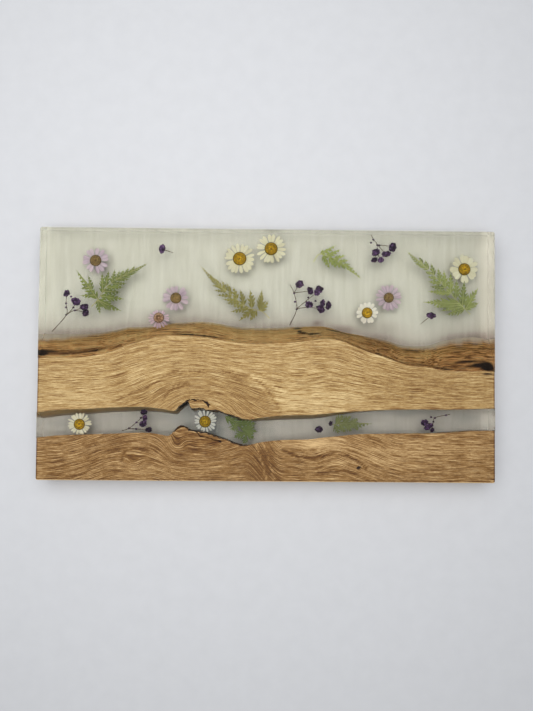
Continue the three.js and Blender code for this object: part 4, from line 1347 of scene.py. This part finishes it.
def ball_shape():
    """Points and faces of a fine ball"""
    ball = bmesh.new()
    bmesh.ops.create_icosphere(ball, subdivisions=4, radius=1)
    points = np.array([vertex.co for vertex in ball.verts])
    faces = [[vertex.index for vertex in face.verts] for face in ball.faces]
    ball.free()
    return points, faces


BALL_POINTS, BALL_FACES = ball_shape()

# Lumps of a dried blossom: their fineness, and the shares of its size that they start at and rise by
LUMP_SCALE = 1.5
LUMP_LEAST, LUMP_RISE = 0.7, 0.64


def add_blossom(pile, place, level, height, draw):
    """A dried blossom: a flattened lump of crumpled petals"""
    x, y, half_length, half_width, turn = place
    seed = Vector((draw.uniform(0, 50), draw.uniform(0, 50), draw.uniform(0, 50)))
    lobes = [1 - noise.voronoi(Vector(point) * LUMP_SCALE + seed)[0][0] for point in BALL_POINTS]
    lobes = np.clip(lobes, 0, 1)
    reach = LUMP_LEAST + LUMP_RISE * lobes
    shaped = BALL_POINTS * reach[:, None] * [half_length, half_width, height / 2]
    flat = turned(x, y, math.radians(turn), shaped[:, 0], shaped[:, 1])
    points = np.stack([*flat, level + np.clip(shaped[:, 2], -height / 2, height / 2)], -1)
    marks = np.stack([lobes, np.zeros(len(lobes)), np.full(len(lobes), draw.random())], -1)
    pile.add(points, BALL_FACES, marks)


BUD_HEIGHT = 1.2
BUD_SIZE = (1.1, 0.9)
STALK_RADII = (0.4, 0.26)


def make_sprig(sprig, draw):
    node = sprig["name"]
    low, high = heights_of(node)
    level = (low + high) / 2
    pile = Pile()
    for place in sprig["blossoms"]:
        add_blossom(pile, place, level, high - low, draw)
    for x, y in sprig.get("buds", []):
        add_blossom(pile, (x, y, *BUD_SIZE, 0), level, BUD_HEIGHT, draw)
    blossom_faces = len(pile.faces)
    for points in sprig["stalks"]:
        add_tube(pile, smooth_path(points), level, *STALK_RADII)
    piece = pile.piece("pressed_" + node, [BLOSSOM, STALK])
    for polygon in piece.data.polygons[blossom_faces:]:
        polygon.material_index = 1
    stand_for(piece, "purple_blossom", node)


SEED = 7


def make_specimens():
    """All specimens, whose chance values come from one row of draws"""
    draw = random.Random(SEED)
    for daisy in DAISIES:
        make_petals(daisy, draw)
        make_eye(daisy, draw)
    for fern, colours in zip(FERNS, FERN_COLOURS):
        make_fern(fern, colours, draw)
    for sprig in SPRIGS:
        make_sprig(sprig, draw)


# Stage, light and camera
FLOOR_SIZE = 3000
ROOM_COLOUR = (0.96, 0.98, 1.0, 1.0)
ROOM_STRENGTH = 0.42
LIGHT_PLACE = (-90, 150, 820)
LIGHT_SIZE = 1100
LIGHT_POWER = 9.2
LIGHT_PATHS = dict(max_bounces=24, transmission_bounces=16, diffuse_bounces=6, blur_glossy=0.0)


def floor_paint():
    paint = Paint("pale_floor")
    grain = paint.noise(paint.place(), scale=60, detail=3)
    colour = paint.ramp(grain, (0.3, srgb(197, 198, 201)), (0.7, srgb(200, 201, 204)))
    paint.shade(Base_Color=colour, Roughness=0.7)
    return paint.material


def make_stage():
    half = FLOOR_SIZE / 2
    corners = [(x * half, y * half, -FLOOR_DROP) for x, y in ((-1, -1), (1, -1), (1, 1), (-1, 1))]
    floor = add_piece("pale_floor", corners, [(0, 1, 2, 3)], [floor_paint()])

    world = bpy.data.worlds.new("soft_room")
    bpy.context.scene.world = world
    world.use_nodes = True
    sky = world.node_tree.nodes["Background"]
    sky.inputs["Color"].default_value = ROOM_COLOUR
    sky.inputs["Strength"].default_value = ROOM_STRENGTH

    lamp = bpy.data.lights.new("soft_window", "AREA")
    lamp.shape = "DISK"
    lamp.size = LIGHT_SIZE * MM
    lamp.energy = LIGHT_POWER
    window = bpy.data.objects.new("soft_window", lamp)
    window.location = Vector(LIGHT_PLACE) * MM
    window.rotation_euler = (-window.location).to_track_quat("-Z", "Y").to_euler()
    window.visible_glossy = False
    bpy.context.scene.collection.objects.link(window)


def make_camera():
    lens = bpy.data.cameras.new("camera")
    lens.sensor_fit = "VERTICAL"
    lens.sensor_height = SENSOR_HEIGHT
    lens.lens = FOCAL_PIXELS * SENSOR_HEIGHT / IMAGE_HEIGHT
    camera = bpy.data.objects.new("camera", lens)
    camera.location = Vector(CAMERA_PLACE) * MM
    camera.rotation_euler = [math.radians(angle) for angle in CAMERA_TURN]
    bpy.context.scene.collection.objects.link(camera)
    bpy.context.scene.camera = camera
    bpy.context.scene.view_settings.view_transform = "Standard"
    for key, value in LIGHT_PATHS.items():
        setattr(bpy.context.scene.cycles, key, value)


make_camera()
make_stage()
make_planks()
make_resin()
make_specimens()
